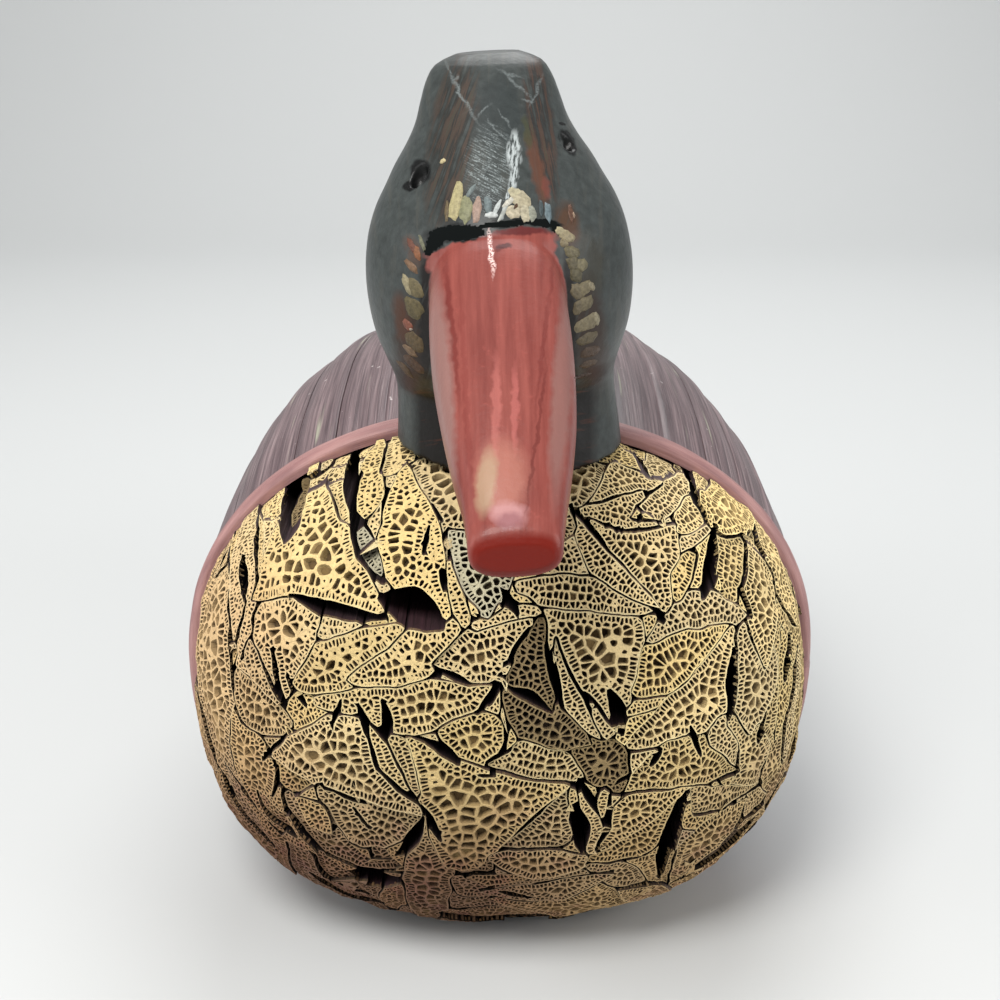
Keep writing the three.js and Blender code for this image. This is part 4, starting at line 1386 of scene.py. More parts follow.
def make_stalks():
    """All cut ends: the CAD stalks, what splits them, and what fills the gaps between them."""
    def drawn(kind, rows):
        return [((kind, k), [leaf_outline(row)]) for k, row in enumerate(rows)]

    nodes = sorted(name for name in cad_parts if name.startswith("stalk_"))
    stalks = [((name, 0), cad_outlines(name)) for name in nodes]
    coarse = [stalk for stalk in stalks if int(stalk[0][0][-2:]) in COARSE]
    fine = [stalk for stalk in stalks if stalk not in coarse]
    slivers = drawn("sliver", SLIVERS)
    extras = {("sliver", k): row[6] for k, row in enumerate(SLIVERS) if len(row) > 6}
    floors = [shape for shape in slivers if "floor" in extras.get(shape[0], {})]
    fills = [shape for shape in slivers if shape not in floors]
    open_shapes = [(None, loops) for _, loops in drawn("crevice", CREVICES)]
    regions = partition(open_shapes + drawn("split", SPLITS) + fine + fills + coarse)
    for key, (ring,) in floors:
        regions.append((key, [MAP_MIDDLE + (ring - MAP_MIDDLE) * ring_stretch(ring)], 0))
    regions.sort(key=lambda region: -region[2])
    done = {}
    for number, (key, loops, _) in enumerate(regions):
        kind, index = key
        extra = extras.get(key, {})
        rank = done.get(key, 0)
        own = int(kind[-2:]) if kind.startswith("stalk") else 0
        label = f"{kind}_end" if own else f"{kind}_{index + 1:02d}"
        size = CELL_SCALE.get(own, 1.0 if own else SMALL_PIECE_SCALE)
        tone = extra.get("tone", STALK_TONES.get(own, "cream"))
        spread = np.random.default_rng(RECESS_SEED + number).uniform(0.0, MOST_RECESS)
        recess = extra.get("back", STALK_RECESS.get(own, spread))
        piece = make_end(f"{label}_{rank}" if rank else label, loops, number, size, tone, recess)
        if piece:
            done[key] = rank + 1
            ride(piece, "stalk", *([kind] if own and rank == 0 else []))


# Materials


class Nodes:
    """Short way to build a node material."""

    def __init__(self, name):
        self.material = bpy.data.materials.new(name)
        self.material.use_nodes = True
        self.tree = self.material.node_tree
        self.shader = self.tree.nodes["Principled BSDF"]

    def add(self, kind, inputs=None, **settings):
        node = self.tree.nodes.new(kind)
        for key, value in settings.items():
            setattr(node, key, value)
        for key, value in (inputs or {}).items():
            self.put(node.inputs[key], value)
        return node

    def put(self, socket, value):
        if isinstance(value, bpy.types.NodeSocket):
            self.tree.links.new(value, socket)
        else:
            socket.default_value = value

    def attribute(self, name, output="Color"):
        return self.add("ShaderNodeAttribute", attribute_name=name).outputs[output]

    def noise(self, where, detail, rough):
        inputs = {"Vector": where, "Scale": 1.0, "Detail": detail, "Roughness": rough}
        return self.add("ShaderNodeTexNoise", inputs).outputs["Fac"]

    def drawn(self, where, scale, detail, rough):
        """Noise drawn out along the axes by a scale."""
        spot = self.add("ShaderNodeMapping", {"Vector": where, "Scale": scale}).outputs["Vector"]
        return self.noise(spot, detail, rough)

    def grain(self, scale, detail, rough):
        """Noise over the object, with its scale to a millimetre."""
        spot = self.add("ShaderNodeTexCoord").outputs["Object"]
        return self.drawn(spot, tuple(s / MM for s in scale), detail, rough)

    def between(self, value, low, high, to_low=0.0, to_high=1.0):
        inputs = {"Value": value, "From Min": low, "From Max": high}
        inputs.update({"To Min": to_low, "To Max": to_high})
        return self.add("ShaderNodeMapRange", inputs).outputs["Result"]

    def maths(self, operation, first, second=0.0):
        return self.add("ShaderNodeMath", {0: first, 1: second}, operation=operation).outputs[0]

    def vectors(self, operation, first, second=(0, 0, 0), output="Vector"):
        inputs = {0: first, 1: second}
        return self.add("ShaderNodeVectorMath", inputs, operation=operation).outputs[output]

    def mix(self, share, first, second, blend="MIX"):
        inputs = {0: share, 6: first, 7: second}
        return self.add("ShaderNodeMix", inputs, data_type="RGBA", blend_type=blend).outputs[2]

    def lay(self, base, tone, mask, *others):
        """A tone laid over the base as far as all the masks let it."""
        for other in others:
            mask = self.maths("MULTIPLY", mask, other)
        return self.mix(mask, base, rgba(tone))

    def shaded(self, colour, shade):
        """Colour made darker or lighter by a shade."""
        grey = self.add("ShaderNodeCombineColor", {"Red": shade, "Green": shade, "Blue": shade})
        return self.mix(1.0, colour, grey.outputs[0], "MULTIPLY")

    def painted_hollow_shade(self, base, reach, dark):
        """Painted shade: colour darkened where the surface is enclosed within a short reach."""
        inputs = {"Distance": reach * MM}
        around = self.add("ShaderNodeAmbientOcclusion", inputs, samples=HOLLOW_SAMPLES).outputs["AO"]
        return self.mix(self.between(around, *HOLLOW_RANGE), rgba(dark), base)

    def finish(self, base, height, relief, strength, **values):
        """The material, with a base colour and a bumpy surface."""
        inputs = {"Height": height, "Distance": relief, "Strength": strength}
        normal = self.add("ShaderNodeBump", inputs).outputs["Normal"]
        return self.set(Base_Color=base, Normal=normal, **values)

    def set(self, **values):
        for key, value in values.items():
            self.put(self.shader.inputs[key.replace("_", " ")], value)
        return self.material


def rgba(colour):
    return (*linear(colour), 1.0)


# Noises of the materials: what they lie on, scale along each axis, detail and roughness. Layers:
# noise, where each begins and is full, its greatest share and its tone.
# Painted shade where a surface is enclosed: samples and the range of enclosure over which it comes in,
# then for pith and skin its reach in millimetres and its dark tone
HOLLOW_SAMPLES, HOLLOW_RANGE = 6, (0.12, 0.8)
PITH_GRAIN, PITH_HEIGHT = ((1.6, 0.5, 1.6), 4, 0.65), ((2.4, 1.0, 2.4), 3, 0.55)
PITH_SHADE, PITH_HOLLOW_SHADE = (0.25, 0.75, 0.8, 1.14), (1.3, 0x2B1F13)
SKIN_LINES, SKIN_LAYER, SKIN_HOLLOW_SHADE = ((1.4, 0.05, 1.4), 4, 0.6), (0.35, 0.7), (7.0, 0x0B0708)
SKIN_TONE = 0x432A30
SHEATH_GROUND = 0x655356
SHEATH_NOISES = {
    "bands": ("fibre", (0.22, 0.008, 1), 2, 0.5),
    "lines": ("fibre", (1.7, 0.025, 1), 4, 0.6),
    "streaks": ("fibre", (0.45, 0.02, 1), 2, 0.5),
    "specks": ("object", (0.5 / MM, 0.35 / MM, 0.5 / MM), 2, 0.4),
}
SHEATH_LAYERS = [
    ("bands", 0.38, 0.66, 1, 0x836F71),
    ("lines", 0.58, 0.36, 1, 0x4A3A3E),
    ("lines", 0.6, 0.74, 0.6, 0xA79A98),
    ("streaks", 0.66, 0.74, 0.7, 0xA3A38F),
    ("specks", 0.74, 0.78, 0.6, 0xD8D0CC),
]
BAND_GROUND = 0x87605F
BAND_NOISES = {
    "lines": ("fibre", (0.03, 2.2, 1), 4, 0.6),
    "patches": ("fibre", (0.05, 0.3, 1), 3, 0.5),
}
BAND_LAYERS = [
    ("patches", 0.35, 0.65, 1, 0xA67C78),
    ("lines", 0.55, 0.75, 0.5, 0xB28A8A),
]


def pith_material():
    """Dried pith: matte, with fine grain over the colour of each face and painted shade where it is
    enclosed.
    """
    make = Nodes("pith")
    shade = make.between(make.grain(*PITH_GRAIN), *PITH_SHADE)
    base = make.painted_hollow_shade(make.shaded(make.attribute("tint"), shade), *PITH_HOLLOW_SHADE)
    return make.finish(base, make.grain(*PITH_HEIGHT), relief=0.0003, strength=0.8, Roughness=0.85)


def skin_material():
    """Outer skin of a stalk, with lines along its length and painted shade where it is enclosed."""
    make = Nodes("stalk_skin")
    lines = make.grain(*SKIN_LINES)
    base = make.lay(make.attribute("tint"), SKIN_TONE, make.between(lines, *SKIN_LAYER))
    base = make.painted_hollow_shade(base, *SKIN_HOLLOW_SHADE)
    return make.finish(base, lines, relief=0.0004, strength=0.6, Roughness=0.6)


def leaf_material(name, ground, noises, layers, relief, rough):
    """Dyed leaf: satin, with lines and bands of other tones along its fibres."""
    make = Nodes(name)
    spots = {
        "fibre": make.attribute("fibre", "Vector"),
        "object": make.add("ShaderNodeTexCoord").outputs["Object"],
    }
    found = {key: make.drawn(spots[spot], *settings) for key, (spot, *settings) in noises.items()}
    base = rgba(ground)
    for key, low, high, most, tone in layers:
        base = make.lay(base, tone, make.between(found[key], low, high, 0, most))
    return make.finish(base, found["lines"], relief, strength=0.5, Roughness=rough)


pith = pith_material()
skin = skin_material()


# Sheath strips and rim band


def make_strip(name, start, end, index, material):
    """One strip of leaf sheath, made of narrow leaves lying edge over edge."""
    places = np.concatenate([[STRIP_START, 2.0], np.arange(4, TAIL_END, ROW_LENGTH), [TAIL_END]])
    stations = station_at(BODY_STATIONS, places)
    radius = 0.5 * (BODY_STATIONS[0][1] + BODY_STATIONS[0][3])
    width = math.radians(end - start) * radius
    rows, columns = len(places), max(LEAST_COLUMNS, round(width / COLUMN_WIDTH)) + 1
    u = np.linspace(0, 1, columns)
    seam = np.degrees(STRIP_SEAM / 2 / np.minimum(stations[:, 1], stations[:, 3]))[:, None]
    angle = np.radians(start + seam + u * (end - start - 2 * seam))
    parts = max(1, round(width / LEAF_WIDTH))
    parted = parts > 1
    wander = LEAF_WANDER * wave(places, index * 9.0, WANDER_SIZE, seed=5)[:, None]
    phase = np.clip(u * parts + wander * parted, 0, parts - SMALL) % 1
    lap = LEAF_STEP * (phase - 0.5) * parted
    groove = -LEAF_GROOVE * (smooth(*GROOVE_LEFT, phase) + smooth(*GROOVE_RIGHT, phase)) * parted
    across = np.broadcast_to(u * width, phase.shape) + STRIP_OFFSET * index
    along = np.broadcast_to(places[:, None], phase.shape)
    relief = FIBRE_RELIEF * wave(across, along / FIBRE_LENGTH, FIBRE_SIZE, index)
    relief = relief + WAVE_RELIEF * wave(across, along / WAVE_LENGTH, WAVE_SIZE, index + 20)
    crown = STRIP_CROWN * (1 - (2 * u - 1) ** 2)
    fade = smooth(0, EDGE_FADE, u) * smooth(1, 1 - EDGE_FADE, u)
    points = []
    for grow in (crown + (lap + groove + relief) * fade, -STRIP_THICKNESS):
        x, z = section(stations, angle, grow)
        points.append(np.stack([x, along, z], axis=2).reshape(-1, 3))
    outer, inner = numbers(rows, columns), numbers(rows, columns, rows * columns)
    faces = []
    for sheet in (outer, inner[::-1]):
        faces += [face for row, after in zip(sheet, sheet[1:]) for face in quads(row, after)]
    left, right = [[[row[side] for row in sheet] for sheet in (outer, inner)] for side in (0, -1)]
    faces += quads(*left) + quads(*right[::-1])
    faces += quads(inner[0], outer[0]) + quads(outer[-1], inner[-1])
    piece = make_piece(f"{name}_leaves", np.vstack(points), faces, [material])
    fibre = np.stack([across.ravel(), along.ravel(), np.zeros(along.size)], axis=1)
    store(piece.data, "fibre", "FLOAT_VECTOR", "POINT", np.tile(fibre, (2, 1)))
    shade_smooth(piece.data, STRIP_SHARPNESS)
    ride(piece, "sheath", name)


def make_band(material):
    """Flat rim band, with its front edge sloped and its surface slightly uneven."""
    station = station_at(BODY_STATIONS, [0])
    angles = np.linspace(0, 2 * math.pi, BAND_COLUMNS, endpoint=False)
    turn = angles * station[0, 1]
    rings, fibre = [], []
    for y, grow in BAND_PROFILE:
        uneven = BAND_UNEVEN * wave(turn / BAND_UNEVEN_LENGTH, y, BAND_UNEVEN_SIZE, seed=31)
        uneven = uneven + BAND_WAVE * wave(turn, 0.0, BAND_WAVE_SIZE, seed=32)
        outside = grow > BAND_OUTER
        x, z = section(station, angles[None], grow + uneven[None] * outside)
        shift = BAND_SHIFT * wave(turn, 3.0, BAND_SHIFT_SIZE, seed=33) * outside
        rings.append(np.stack([x[0], y + shift, z[0]], axis=1))
        fibre.append(np.stack([turn, np.full(BAND_COLUMNS, y + grow), 0 * turn], axis=1))
    rows = turns(numbers(len(BAND_PROFILE), BAND_COLUMNS))
    faces = [face for row, after in rows for face in quads(row, after, True)]
    piece = make_piece("rim_band_leaf", np.vstack(rings), faces, [material])
    store(piece.data, "fibre", "FLOAT_VECTOR", "POINT", np.vstack(fibre))
    shade_smooth(piece.data, BAND_SHARPNESS)
    ride(piece, "band", "rim_band")


# Head


def head_points(heights, angles):
    """Points on the head and neck at the given heights and angles."""
    _, half, front, back, power = station_at(HEAD_STATIONS, np.maximum(heights, NECK_FOOT)).T
    side, rise = bend(np.cos(angles), 2 / power), bend(np.sin(angles), 2 / power)
    narrow = 1 - FACE_NARROWING * np.maximum(-rise, 0) ** 2
    y = (front + back) / 2 + (back - front) / 2 * rise
    return np.stack([half * side * narrow, y, heights], axis=1)


def roll(points, angle=HEAD_ROLL):
    """Head turned about the Y direction, as it sits on the body."""
    x, y, z = np.asarray(points, float).T
    up = z - HEAD_ROLL_HEIGHT
    cos, sin = math.cos(angle), math.sin(angle)
    return np.stack([x * cos + up * sin, y, HEAD_ROLL_HEIGHT - x * sin + up * cos], axis=1)


def seat_height(x, y):
    """Height of the body's top at x, y, with the gap that the neck keeps to it."""
    rim = BAND_FRONT - GAP
    station = station_at(BODY_STATIONS, np.maximum(y, 0))
    half, middle, up = station[:, 1], station[:, 2], station[:, 3]
    forward = np.clip((rim - GAP - y) / BREAST_DEPTH, 0, 1)
    scale = (1 - forward**BREAST_POWER) ** (1 / BREAST_POWER)
    grow = GAP + BAND_PROUD * smooth(rim - BAND_SLOPE, rim, y)
    share = np.clip(np.abs(x) / (half * scale + grow), 0, 1)
    return middle + (up * scale + grow) * (1 - share**UPPER_POWER) ** (1 / UPPER_POWER)


def above_seat(points):
    """How much each point of the unrolled head has to rise to lie on its seat."""
    spot = roll(points)
    return SEAT_PULL * (seat_height(spot[:, 0], spot[:, 1]) - spot[:, 2])


def closed_loft(rings):
    """Points and faces of a closed form through rings of points."""
    rows = numbers(len(rings), len(rings[0]))
    points = np.vstack([*rings, rings[0].mean(axis=0)[None], rings[-1].mean(axis=0)[None]])
    faces = [face for row, after in zip(rows, rows[1:]) for face in quads(row, after, True)]
    first, last = len(points) - 2, len(points) - 1
    for (a, b), (c, d) in zip(turns(rows[0]), turns(rows[-1])):
        faces += [(first, b, a), (last, c, d)]
    return points, faces


def head_loft():
    """Head and neck, from the seat on the body up to the crown."""
    angles = np.linspace(0, 2 * math.pi, HEAD_SIDES, endpoint=False)
    floor = np.full(HEAD_SIDES, FIRST_FLOOR)
    for _ in range(SEAT_ROUNDS):
        floor = floor + above_seat(head_points(floor, angles))
    foot = head_points(floor, angles)
    middle = (0, foot[:, 1].mean(), 0)
    rings = []
    for scale in SEAT_RINGS:
        flat = middle + (foot - middle) * (scale, scale, 1)
        for _ in range(SEAT_INNER_ROUNDS):
            flat[:, 2] += above_seat(flat)
        rings.append(flat)
    for level in np.linspace(0, 1, NECK_LEVELS)[:-1]:
        rings.append(head_points(floor + (NECK_TOP - floor) * level, angles))
    for height in np.linspace(NECK_TOP, HEAD_STATIONS[-1][0], HEAD_RINGS):
        rings.append(head_points(np.full(HEAD_SIDES, height), angles))
    return closed_loft(rings)


def bill_loft():
    """Bill, from inside the head to its blunt tip."""
    angles = np.linspace(0, 2 * math.pi, BILL_SIDES, endpoint=False)
    side, rise = bend(np.cos(angles), 2 / BILL_POWER), bend(np.sin(angles), 2 / BILL_POWER)
    first, last = BILL_STATIONS[0][0], BILL_STATIONS[-1][0]
    reach = first + (last - first) * np.sin(np.linspace(0, math.pi / 2, BILL_RINGS))
    rings = []
    for place, top, bottom, half, shift in station_at(BILL_STATIONS, reach):
        z = (top + bottom) / 2 + (top - bottom) / 2 * rise
        rings.append(np.stack([shift + half * side, np.full(BILL_SIDES, -place), z], axis=1))
    return closed_loft(rings)


def eye_pit(height, angle, size):
    """Tall ball on the surface of the head, to be cut out of it."""
    place = head_points(np.array([height]), np.array([angle]))
    angles = np.linspace(0, 2 * math.pi, EYE_SIDES, endpoint=False)
    rings = []
    for level in np.linspace(-math.pi / 2, math.pi / 2, EYE_LEVELS)[1:-1]:
        ring = np.stack([np.cos(angles) * math.cos(level), np.sin(angles) * math.cos(level),
                         np.full(EYE_SIDES, math.sin(level) * EYE_TALL)], axis=1)
        rings.append(place + size * ring)
    return closed_loft(rings)


def make_head(materials):
    """Head, neck and bill as one carved piece."""
    def temporary(name, shape):
        points, faces = shape
        return make_piece(name, roll(points), faces, [])

    head = temporary("head_wood", head_loft())
    others = [
        (temporary("bill_form", bill_loft()), "UNION"),
        (temporary("left_pit", eye_pit(*LEFT_EYE)), "DIFFERENCE"),
        (temporary("right_pit", eye_pit(*RIGHT_EYE)), "DIFFERENCE"),
    ]
    for other, operation in others:
        change = head.modifiers.new(other.name, "BOOLEAN")
        change.operation, change.object, change.solver = operation, other, "EXACT"
    even = head.modifiers.new("even", "REMESH")
    even.mode, even.voxel_size = "VOXEL", HEAD_VOXEL * MM
    graph = bpy.context.evaluated_depsgraph_get()
    mesh = bpy.data.meshes.new_from_object(head.evaluated_get(graph))
    finish_head(mesh, materials)
    for other in [head] + [other for other, _ in others]:
        bpy.data.objects.remove(other)

def vertex_places(mesh):
    """Vertices in millimetres from the band."""
    flat = np.empty(3 * len(mesh.vertices), np.float32)
    mesh.vertices.foreach_get("co", flat)
    return flat.reshape(-1, 3).astype(float) / MM - (0, BAND_PLACE, 0)


def photo_place(points):
    """Where points fall in the photograph, in its pixels."""
    x, y, z = (points - CAMERA_PLACE).T
    deep, up = y * PITCH_COS - z * PITCH_SIN, z * PITCH_COS + y * PITCH_SIN
    return PHOTO_SIZE / 2 + FOCAL * x / deep, PHOTO_SIZE / 2 - FOCAL * up / deep


def bill_reach(points):
    """How far outside the bill's own surface each point lies, in millimetres."""
    x, y, z = roll(points, -HEAD_ROLL).T
    _, top, bottom, half, shift = station_at(BILL_STATIONS, -y).T
    side = np.abs(x - shift) / half
    rise = np.abs(z - (top + bottom) / 2) / ((top - bottom) / 2)
    return ((side**BILL_POWER + rise**BILL_POWER) ** (1 / BILL_POWER) - 1) * half


def raised_dabs(tree):
    """Strokes of thick paint as low domes on the head: points, faces and colours."""
    points, faces, colours = [], [], []
    rng = np.random.default_rng(DAB_SEED)
    origin = Vector(CAMERA_PLACE)

    def cast(x, y, height):
        """Point seen at a place in the photograph, raised from the surface, if there is one."""
        side, up = (x - PHOTO_SIZE / 2) / FOCAL, (PHOTO_SIZE / 2 - y) / FOCAL
        ray = Vector((side, PITCH_COS + up * PITCH_SIN, up * PITCH_COS - PITCH_SIN))
        hit, normal, _, _ = tree.ray_cast(origin, ray)
        return hit and hit + normal * height

    angles = np.linspace(0, 2 * math.pi, DAB_SIDES, endpoint=False)
    for x, y, long, wide, degrees, tone in DABS:
        ax, ay = math.cos(math.radians(degrees)), math.sin(math.radians(degrees))
        ragged = 1 + DAB_RAGGED * rng.uniform(-1, 1, DAB_SIDES)
        dome = []
        for share, height in DAB_RINGS:
            for angle, rough in zip(angles, ragged):
                u, v = share * rough * long * math.cos(angle), share * rough * wide * math.sin(angle)
                dome.append(cast(x + u * ax - v * ay, y + u * ay + v * ax, height))
        dome.append(cast(x, y, DAB_HEIGHT))
        if None in dome:
            continue
        rows = numbers(len(DAB_RINGS), DAB_SIDES, len(points))
        points += dome
        for row, after in zip(rows, rows[1:]):
            faces += quads(after, row, True)
        faces += [(b, a, len(points) - 1) for a, b in turns(rows[-1])]
        colours += [linear(tone) * rng.uniform(*DAB_SHADE)] * len(dome)
    return np.array(points), faces, np.array(colours)


def in_notch(places):
    """Which places lie in the dark notch between forehead and bill, which is black paint and a painted
    shadow of the groove.
    """
    x, y = photo_place(places)
    inside = np.zeros(len(places), bool)
    for middle_x, middle_y, long, wide, degrees in NOTCH_BLACK_AND_SHADOW_PATCHES:
        cos, sin = math.cos(math.radians(degrees)), math.sin(math.radians(degrees))
        along = (x - middle_x) * cos + (y - middle_y) * sin
        across = (y - middle_y) * cos - (x - middle_x) * sin
        inside |= (along / long) ** 2 + (across / wide) ** 2 < NOTCH_SHARE
    return inside & (places[:, 1] < 0)


def finish_head(mesh, materials):
    """The carved form with its raised strokes, and what the paint needs to know at each point."""
    points = vertex_places(mesh)
    corners = np.empty(len(mesh.loops), np.int32)
    mesh.loops.foreach_get("vertex_index", corners)
    sizes = np.empty(len(mesh.polygons), np.int32)
    mesh.polygons.foreach_get("loop_total", sizes)
    faces = [part.tolist() for part in np.split(corners, np.cumsum(sizes)[:-1])]
    dabs, dab_faces, dab_colours = raised_dabs(BVHTree.FromPolygons(points.tolist(), faces))
    whole = np.vstack([points, dabs])
    faces += [[corner + len(points) for corner in face] for face in dab_faces]
    middles = np.add.reduceat(points[corners], np.cumsum(sizes) - sizes) / sizes[:, None]
    slots = (2 * in_notch(middles)).tolist() + [1] * len(dab_faces)
    piece = make_piece("head_carving", whole, faces, materials, slots)
    seen = np.stack([*photo_place(whole), smooth(*FRONT_FADE, whole[:, 1])], axis=1)
    forms = np.stack([bill_reach(whole), whole[:, 1], whole[:, 2]], axis=1)
    tint = np.ones((len(whole), 4))
    tint[len(points):, :3] = dab_colours
    store(piece.data, "seen", "FLOAT_VECTOR", "POINT", seen)
    store(piece.data, "forms", "FLOAT_VECTOR", "POINT", forms)
    store(piece.data, "tint", "FLOAT_COLOR", "POINT", tint)
    shade_smooth(piece.data)
    ride(piece, "painted_wood", "head")


def head_material():
    """Old oil paint on wood, laid in the order in which it was painted."""
    make = Nodes("head_paint")
    seen = make.attribute("seen", "Vector")
    across, _, front = make.add("ShaderNodeSeparateXYZ", {"Vector": seen}).outputs
    forms = make.add("ShaderNodeSeparateXYZ", {"Vector": make.attribute("forms", "Vector")})
    bill_away, forward, height = forms.outputs
    wobble = make.add("ShaderNodeTexNoise", {"Vector": seen, "Scale": WOBBLE_SCALE, "Detail": 2.0})
    centred = make.vectors("SUBTRACT", wobble.outputs["Color"], (0.5, 0.5, 0.5))
    moved = make.vectors("ADD", seen, make.vectors("MULTIPLY", centred, (WOBBLE, WOBBLE, 0)))
    flat = make.vectors("MULTIPLY", moved, (1, 1, 0))

    def turned(where, place, scale, degrees):
        """Places measured from a place of the photograph along a direction, in steps of a scale."""
        inputs = {"Vector": where, "Location": (*place, 0), "Scale": (*scale, 1)}
        inputs["Rotation"] = (0, 0, math.radians(degrees))
        return make.add("ShaderNodeMapping", inputs, vector_type="TEXTURE").outputs[0]

    def patch(x, y, long, wide, degrees, soft=SOFT):
        """Mask of a tilted oval with a soft edge."""
        spot = turned(flat, (x, y), (long, wide), degrees)
        reach = make.vectors("LENGTH", spot, output="Value")
        return make.maths("MULTIPLY", make.between(reach, 1 - soft, 1 + soft, 1, 0), front)

    brushes = {name: make.noise(turned(seen, (0, 0), (narrow, long), slant), detail, BRUSH_ROUGHNESS)
               for name, (narrow, long, slant, detail) in BRUSHES.items()}

    def brush(name, low, high):
        return make.between(brushes[name], low, high)

    fine = make.grain(*HEAD_GRAIN)
    light = make.between(fine, *SHOWN["light ground"])
    base = make.lay(rgba(PAINT["ground"]), PAINT["light ground"], light)
    brown = brush("broad", *SHOWN["brown ground"])
    base = make.lay(base, PAINT["brown ground"], brown, front, STRENGTH["brown ground"])
    for region, name, layers in STREAKS:
        area = patch(*region, STREAK_SOFT)
        for low, high, tone in layers:
            base = make.lay(base, tone, area, brush(name, low, high), STRENGTH["streak"])
    for region, strength, tone in FOREHEAD_PATCHES:
        base = make.lay(base, tone, patch(*region), strength)

    # Painted highlight on the lower forehead, laid in hatched and crossed strokes with pale scuffs,
    # and more of it in the white marks beside
    hatch = brush("hatch", *SHOWN["hatch"])
    silver_scuffs_and_highlight = make.maths("MULTIPLY", patch(*SILVER_HIGHLIGHT_PATCH, SILVER_HIGHLIGHT_SOFT), hatch)
    crossed = brush("crossed", *SHOWN["silver_scuffs_and_highlight"])
    base = make.lay(base, PAINT["silver_scuffs_and_highlight"], silver_scuffs_and_highlight, crossed, STRENGTH["silver_scuffs_and_highlight"])
    for region in WHITE_HIGHLIGHT_MARKS:
        base = make.lay(base, PAINT["white_scuffs_and_highlight"], patch(*region), brush("rough", *SHOWN["white_scuffs_and_highlight"]))
    for region in SCRATCHES:
        faint = patch(*region, SCRATCH_SOFT)
        crossed = brush("crossed", *SHOWN["scratch"])
        base = make.lay(base, PAINT["scratch"], faint, crossed, STRENGTH["scratch"])
    for region, strength, tone in CHEEK_PAINT_AND_SHADOW_PATCHES:
        area = patch(*region)
        base = make.lay(base, tone, area, brush("left", *SHOWN["cheek"]), strength)

    # Painted shadow on the middle of the neck under the head and bill, with rust-coloured streaks of
    # paint in it
    away = make.maths("ABSOLUTE", make.maths("SUBTRACT", across, NECK_MIDDLE))
    dark = make.maths("MULTIPLY", make.between(height, *NECK_SHADOW_HEIGHTS), make.between(away, *NECK_SHADOW_SIDES))
    dark = make.maths("MULTIPLY", dark, front)
    base = make.lay(base, PAINT["neck"], dark)
    swirl = brush("swirl", *SHOWN["rust"])
    base = make.lay(base, PAINT["rust"], dark, swirl, STRENGTH["rust"])

    edge = make.maths("ADD", bill_away, make.between(fine, *SHOWN["bill edge"]))
    bill = make.maths("MULTIPLY", make.between(edge, *BILL_AWAY), make.between(forward, *BILL_BEGINS))
    for region in BILL_ROOT:
        bill = make.maths("MAXIMUM", bill, patch(*region, ROOT_SOFT))
    red = make.lay(rgba(PAINT["red"]), PAINT["light red"], brush("bill", *SHOWN["light red"]))
    red = make.lay(red, PAINT["worn red"], make.between(fine, *SHOWN["worn red"]))
    # Worn paint and cracks on the bill, with painted highlights, reflections and a shadow under the
    # forehead
    for region, strength, tone in BILL_WEAR_HIGHLIGHT_AND_SHADE_PATCHES:
        red = make.lay(red, tone, patch(*region), strength)
    red = make.lay(red, PAINT["bill end"], make.between(forward, *BILL_END))
    base = make.mix(bill, base, red)

    # Notch: black paint and the painted shadow of its groove; eyes: black paint in the pits
    for regions, soft, tone in ((NOTCH_BLACK_AND_SHADOW_PATCHES, ROOT_SOFT, "notch"), (EYE_PATCHES, EYE_SOFT, "eye")):
        for region in regions:
            base = make.lay(base, PAINT[tone], patch(*region, soft))
    nick = patch(*NICK, NICK_SOFT)
    base = make.lay(base, PAINT["nick"], nick, brush("crossed", *SHOWN["nick"]))
    return make.finish(base, fine, relief=0.0006, strength=0.25, Roughness=0.42,
                       Specular_IOR_Level=0.18, Coat_Weight=0.1, Coat_Roughness=0.15)


def dab_material():
    """Thick strokes of paint, a little uneven."""
    make = Nodes("raised_paint")
    grain = make.grain(*DAB_GRAIN)
    base = make.shaded(make.attribute("tint"), make.between(grain, *SHOWN["dab"]))
    return make.finish(base, grain, relief=0.0005, strength=0.5, Roughness=0.45,
                       Specular_IOR_Level=0.25)


def notch_black_and_shadow_material():
    """Dull black in the notch: its black paint and a painted shadow of the groove, which is not cut.
    """
    make = Nodes("notch_black_and_shadow")
    base = rgba(PAINT["notch wall"])
    return make.set(Base_Color=base, Roughness=0.9, Specular_IOR_Level=0.05)


# Stage, lights and camera


# Stage: half width, where the floor begins and starts to curve, radius of the curve and height,
# in metres. Lights: place, target, size, power and colour.
STAGE_HALF, STAGE_FRONT, STAGE_BEND, STAGE_RADIUS, STAGE_TOP = 2.5, -1.6, 0.9, 0.5, 2.2
STAGE_STEPS, STAGE_TONE = 12, 0xC3C5C5
LIGHTS = {
    "key": ((-0.3, -0.6, 1.0), (0, 0, 0.1), 0.55, 12, (1.0, 0.98, 0.95)),
    "left": ((-1.0, -0.25, 0.45), (0, 0, 0.12), 0.8, 4, (1.0, 1.0, 1.0)),
    "right": ((1.0, -0.35, 0.45), (0, 0, 0.12), 0.8, 6, (1.0, 1.0, 1.0)),
    "back": ((0.1, 0.7, 1.0), (0, 0.3, 0.0), 0.9, 8, (1.0, 1.0, 1.0)),
}
WORLD_COLOUR, WORLD_STRENGTH = (0.9, 0.91, 0.92, 1), 0.4


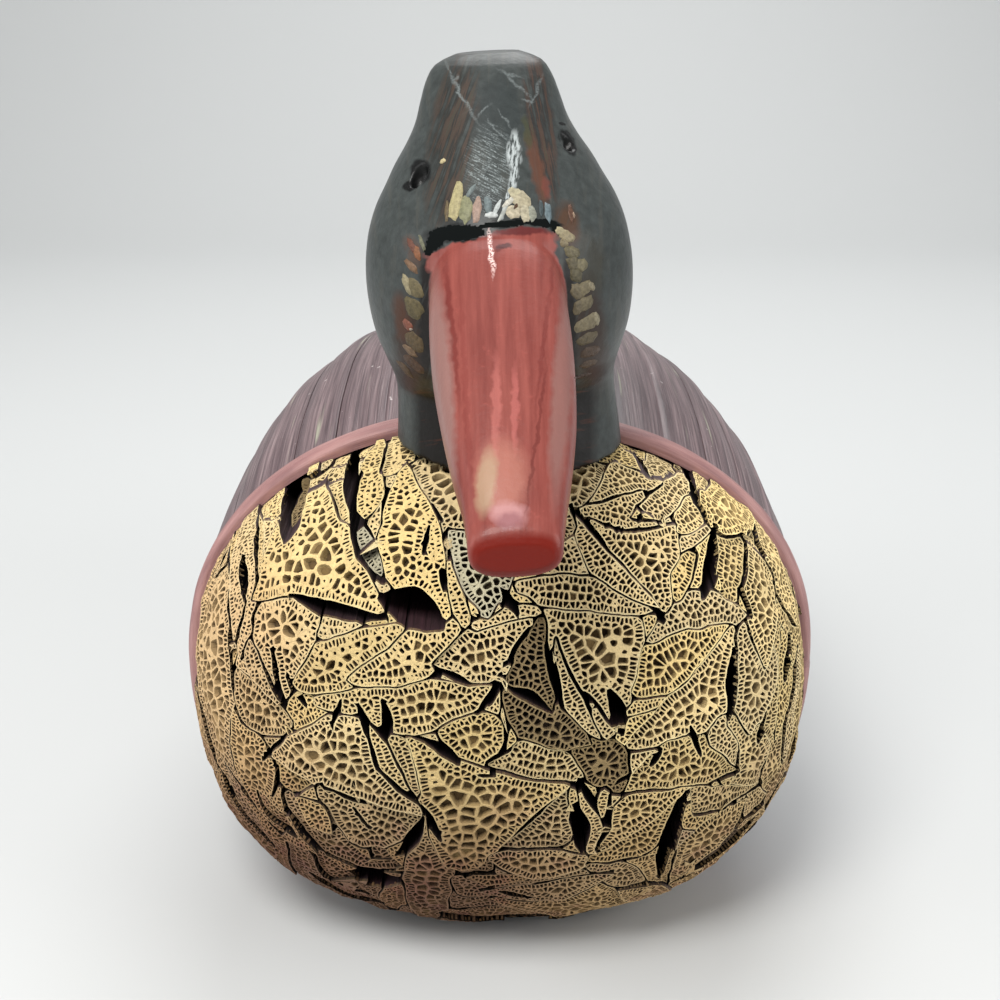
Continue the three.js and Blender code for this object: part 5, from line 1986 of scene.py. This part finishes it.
def make_stage():
    """Plain pale floor that curves up into a backdrop."""
    profile = [(STAGE_FRONT, 0.0), (STAGE_BEND, 0.0)]
    for step in range(1, STAGE_STEPS + 1):
        angle = math.radians(90 * step / STAGE_STEPS)
        profile.append((STAGE_BEND + STAGE_RADIUS * math.sin(angle),
                        STAGE_RADIUS - STAGE_RADIUS * math.cos(angle)))
    profile.append((STAGE_BEND + STAGE_RADIUS, STAGE_TOP))
    mesh = bpy.data.meshes.new("stage")
    points = [(side, y, z) for y, z in profile for side in (-STAGE_HALF, STAGE_HALF)]
    rows = numbers(len(profile), 2)
    faces = [face for row, after in zip(rows, rows[1:]) for face in quads(row, after)]
    mesh.from_pydata(points, [], faces)
    mesh.materials.append(Nodes("stage_paper").set(Base_Color=rgba(STAGE_TONE), Roughness=0.7))
    shade_smooth(mesh)
    stage = bpy.data.objects.new("stage", mesh)
    bpy.context.scene.collection.objects.link(stage)


def make_lights():
    for name, (place, target, size, power, colour) in LIGHTS.items():
        data = bpy.data.lights.new(name, "AREA")
        data.shape, data.size, data.energy, data.color = "DISK", size, power, colour
        light = bpy.data.objects.new(name, data)
        light.location = place
        light.rotation_euler = (Vector(target) - Vector(place)).to_track_quat("-Z", "Y").to_euler()
        bpy.context.scene.collection.objects.link(light)
    world = bpy.data.worlds.new("studio")
    bpy.context.scene.world = world
    world.use_nodes = True
    background = world.node_tree.nodes["Background"]
    background.inputs["Color"].default_value = WORLD_COLOUR
    background.inputs["Strength"].default_value = WORLD_STRENGTH
    bpy.context.scene.view_settings.view_transform = "Standard"


def make_camera():
    data = bpy.data.cameras.new("camera")
    data.lens, data.sensor_width = CAMERA_LENS, SENSOR
    camera = bpy.data.objects.new("camera", data)
    camera.location = to_row(CAMERA_PLACE)
    camera.rotation_euler = (math.pi / 2 - CAMERA_PITCH, 0, 0)
    bpy.context.scene.collection.objects.link(camera)
    bpy.context.scene.camera = camera


make_camera()
make_stage()
make_lights()
make_stalks()
sheath = leaf_material("dyed_sheath", SHEATH_GROUND, SHEATH_NOISES, SHEATH_LAYERS,
                       relief=0.0005, rough=0.46)
strip_ends = STRIP_EDGES[1:] + [STRIP_EDGES[0] + 360]
for index, (start, end) in enumerate(zip(STRIP_EDGES, strip_ends)):
    make_strip(f"sheath_strip_{index + 1:02d}", start, end, index, sheath)
make_band(leaf_material("dyed_band", BAND_GROUND, BAND_NOISES, BAND_LAYERS,
                        relief=0.0004, rough=0.5))
make_head([head_material(), dab_material(), notch_black_and_shadow_material()])
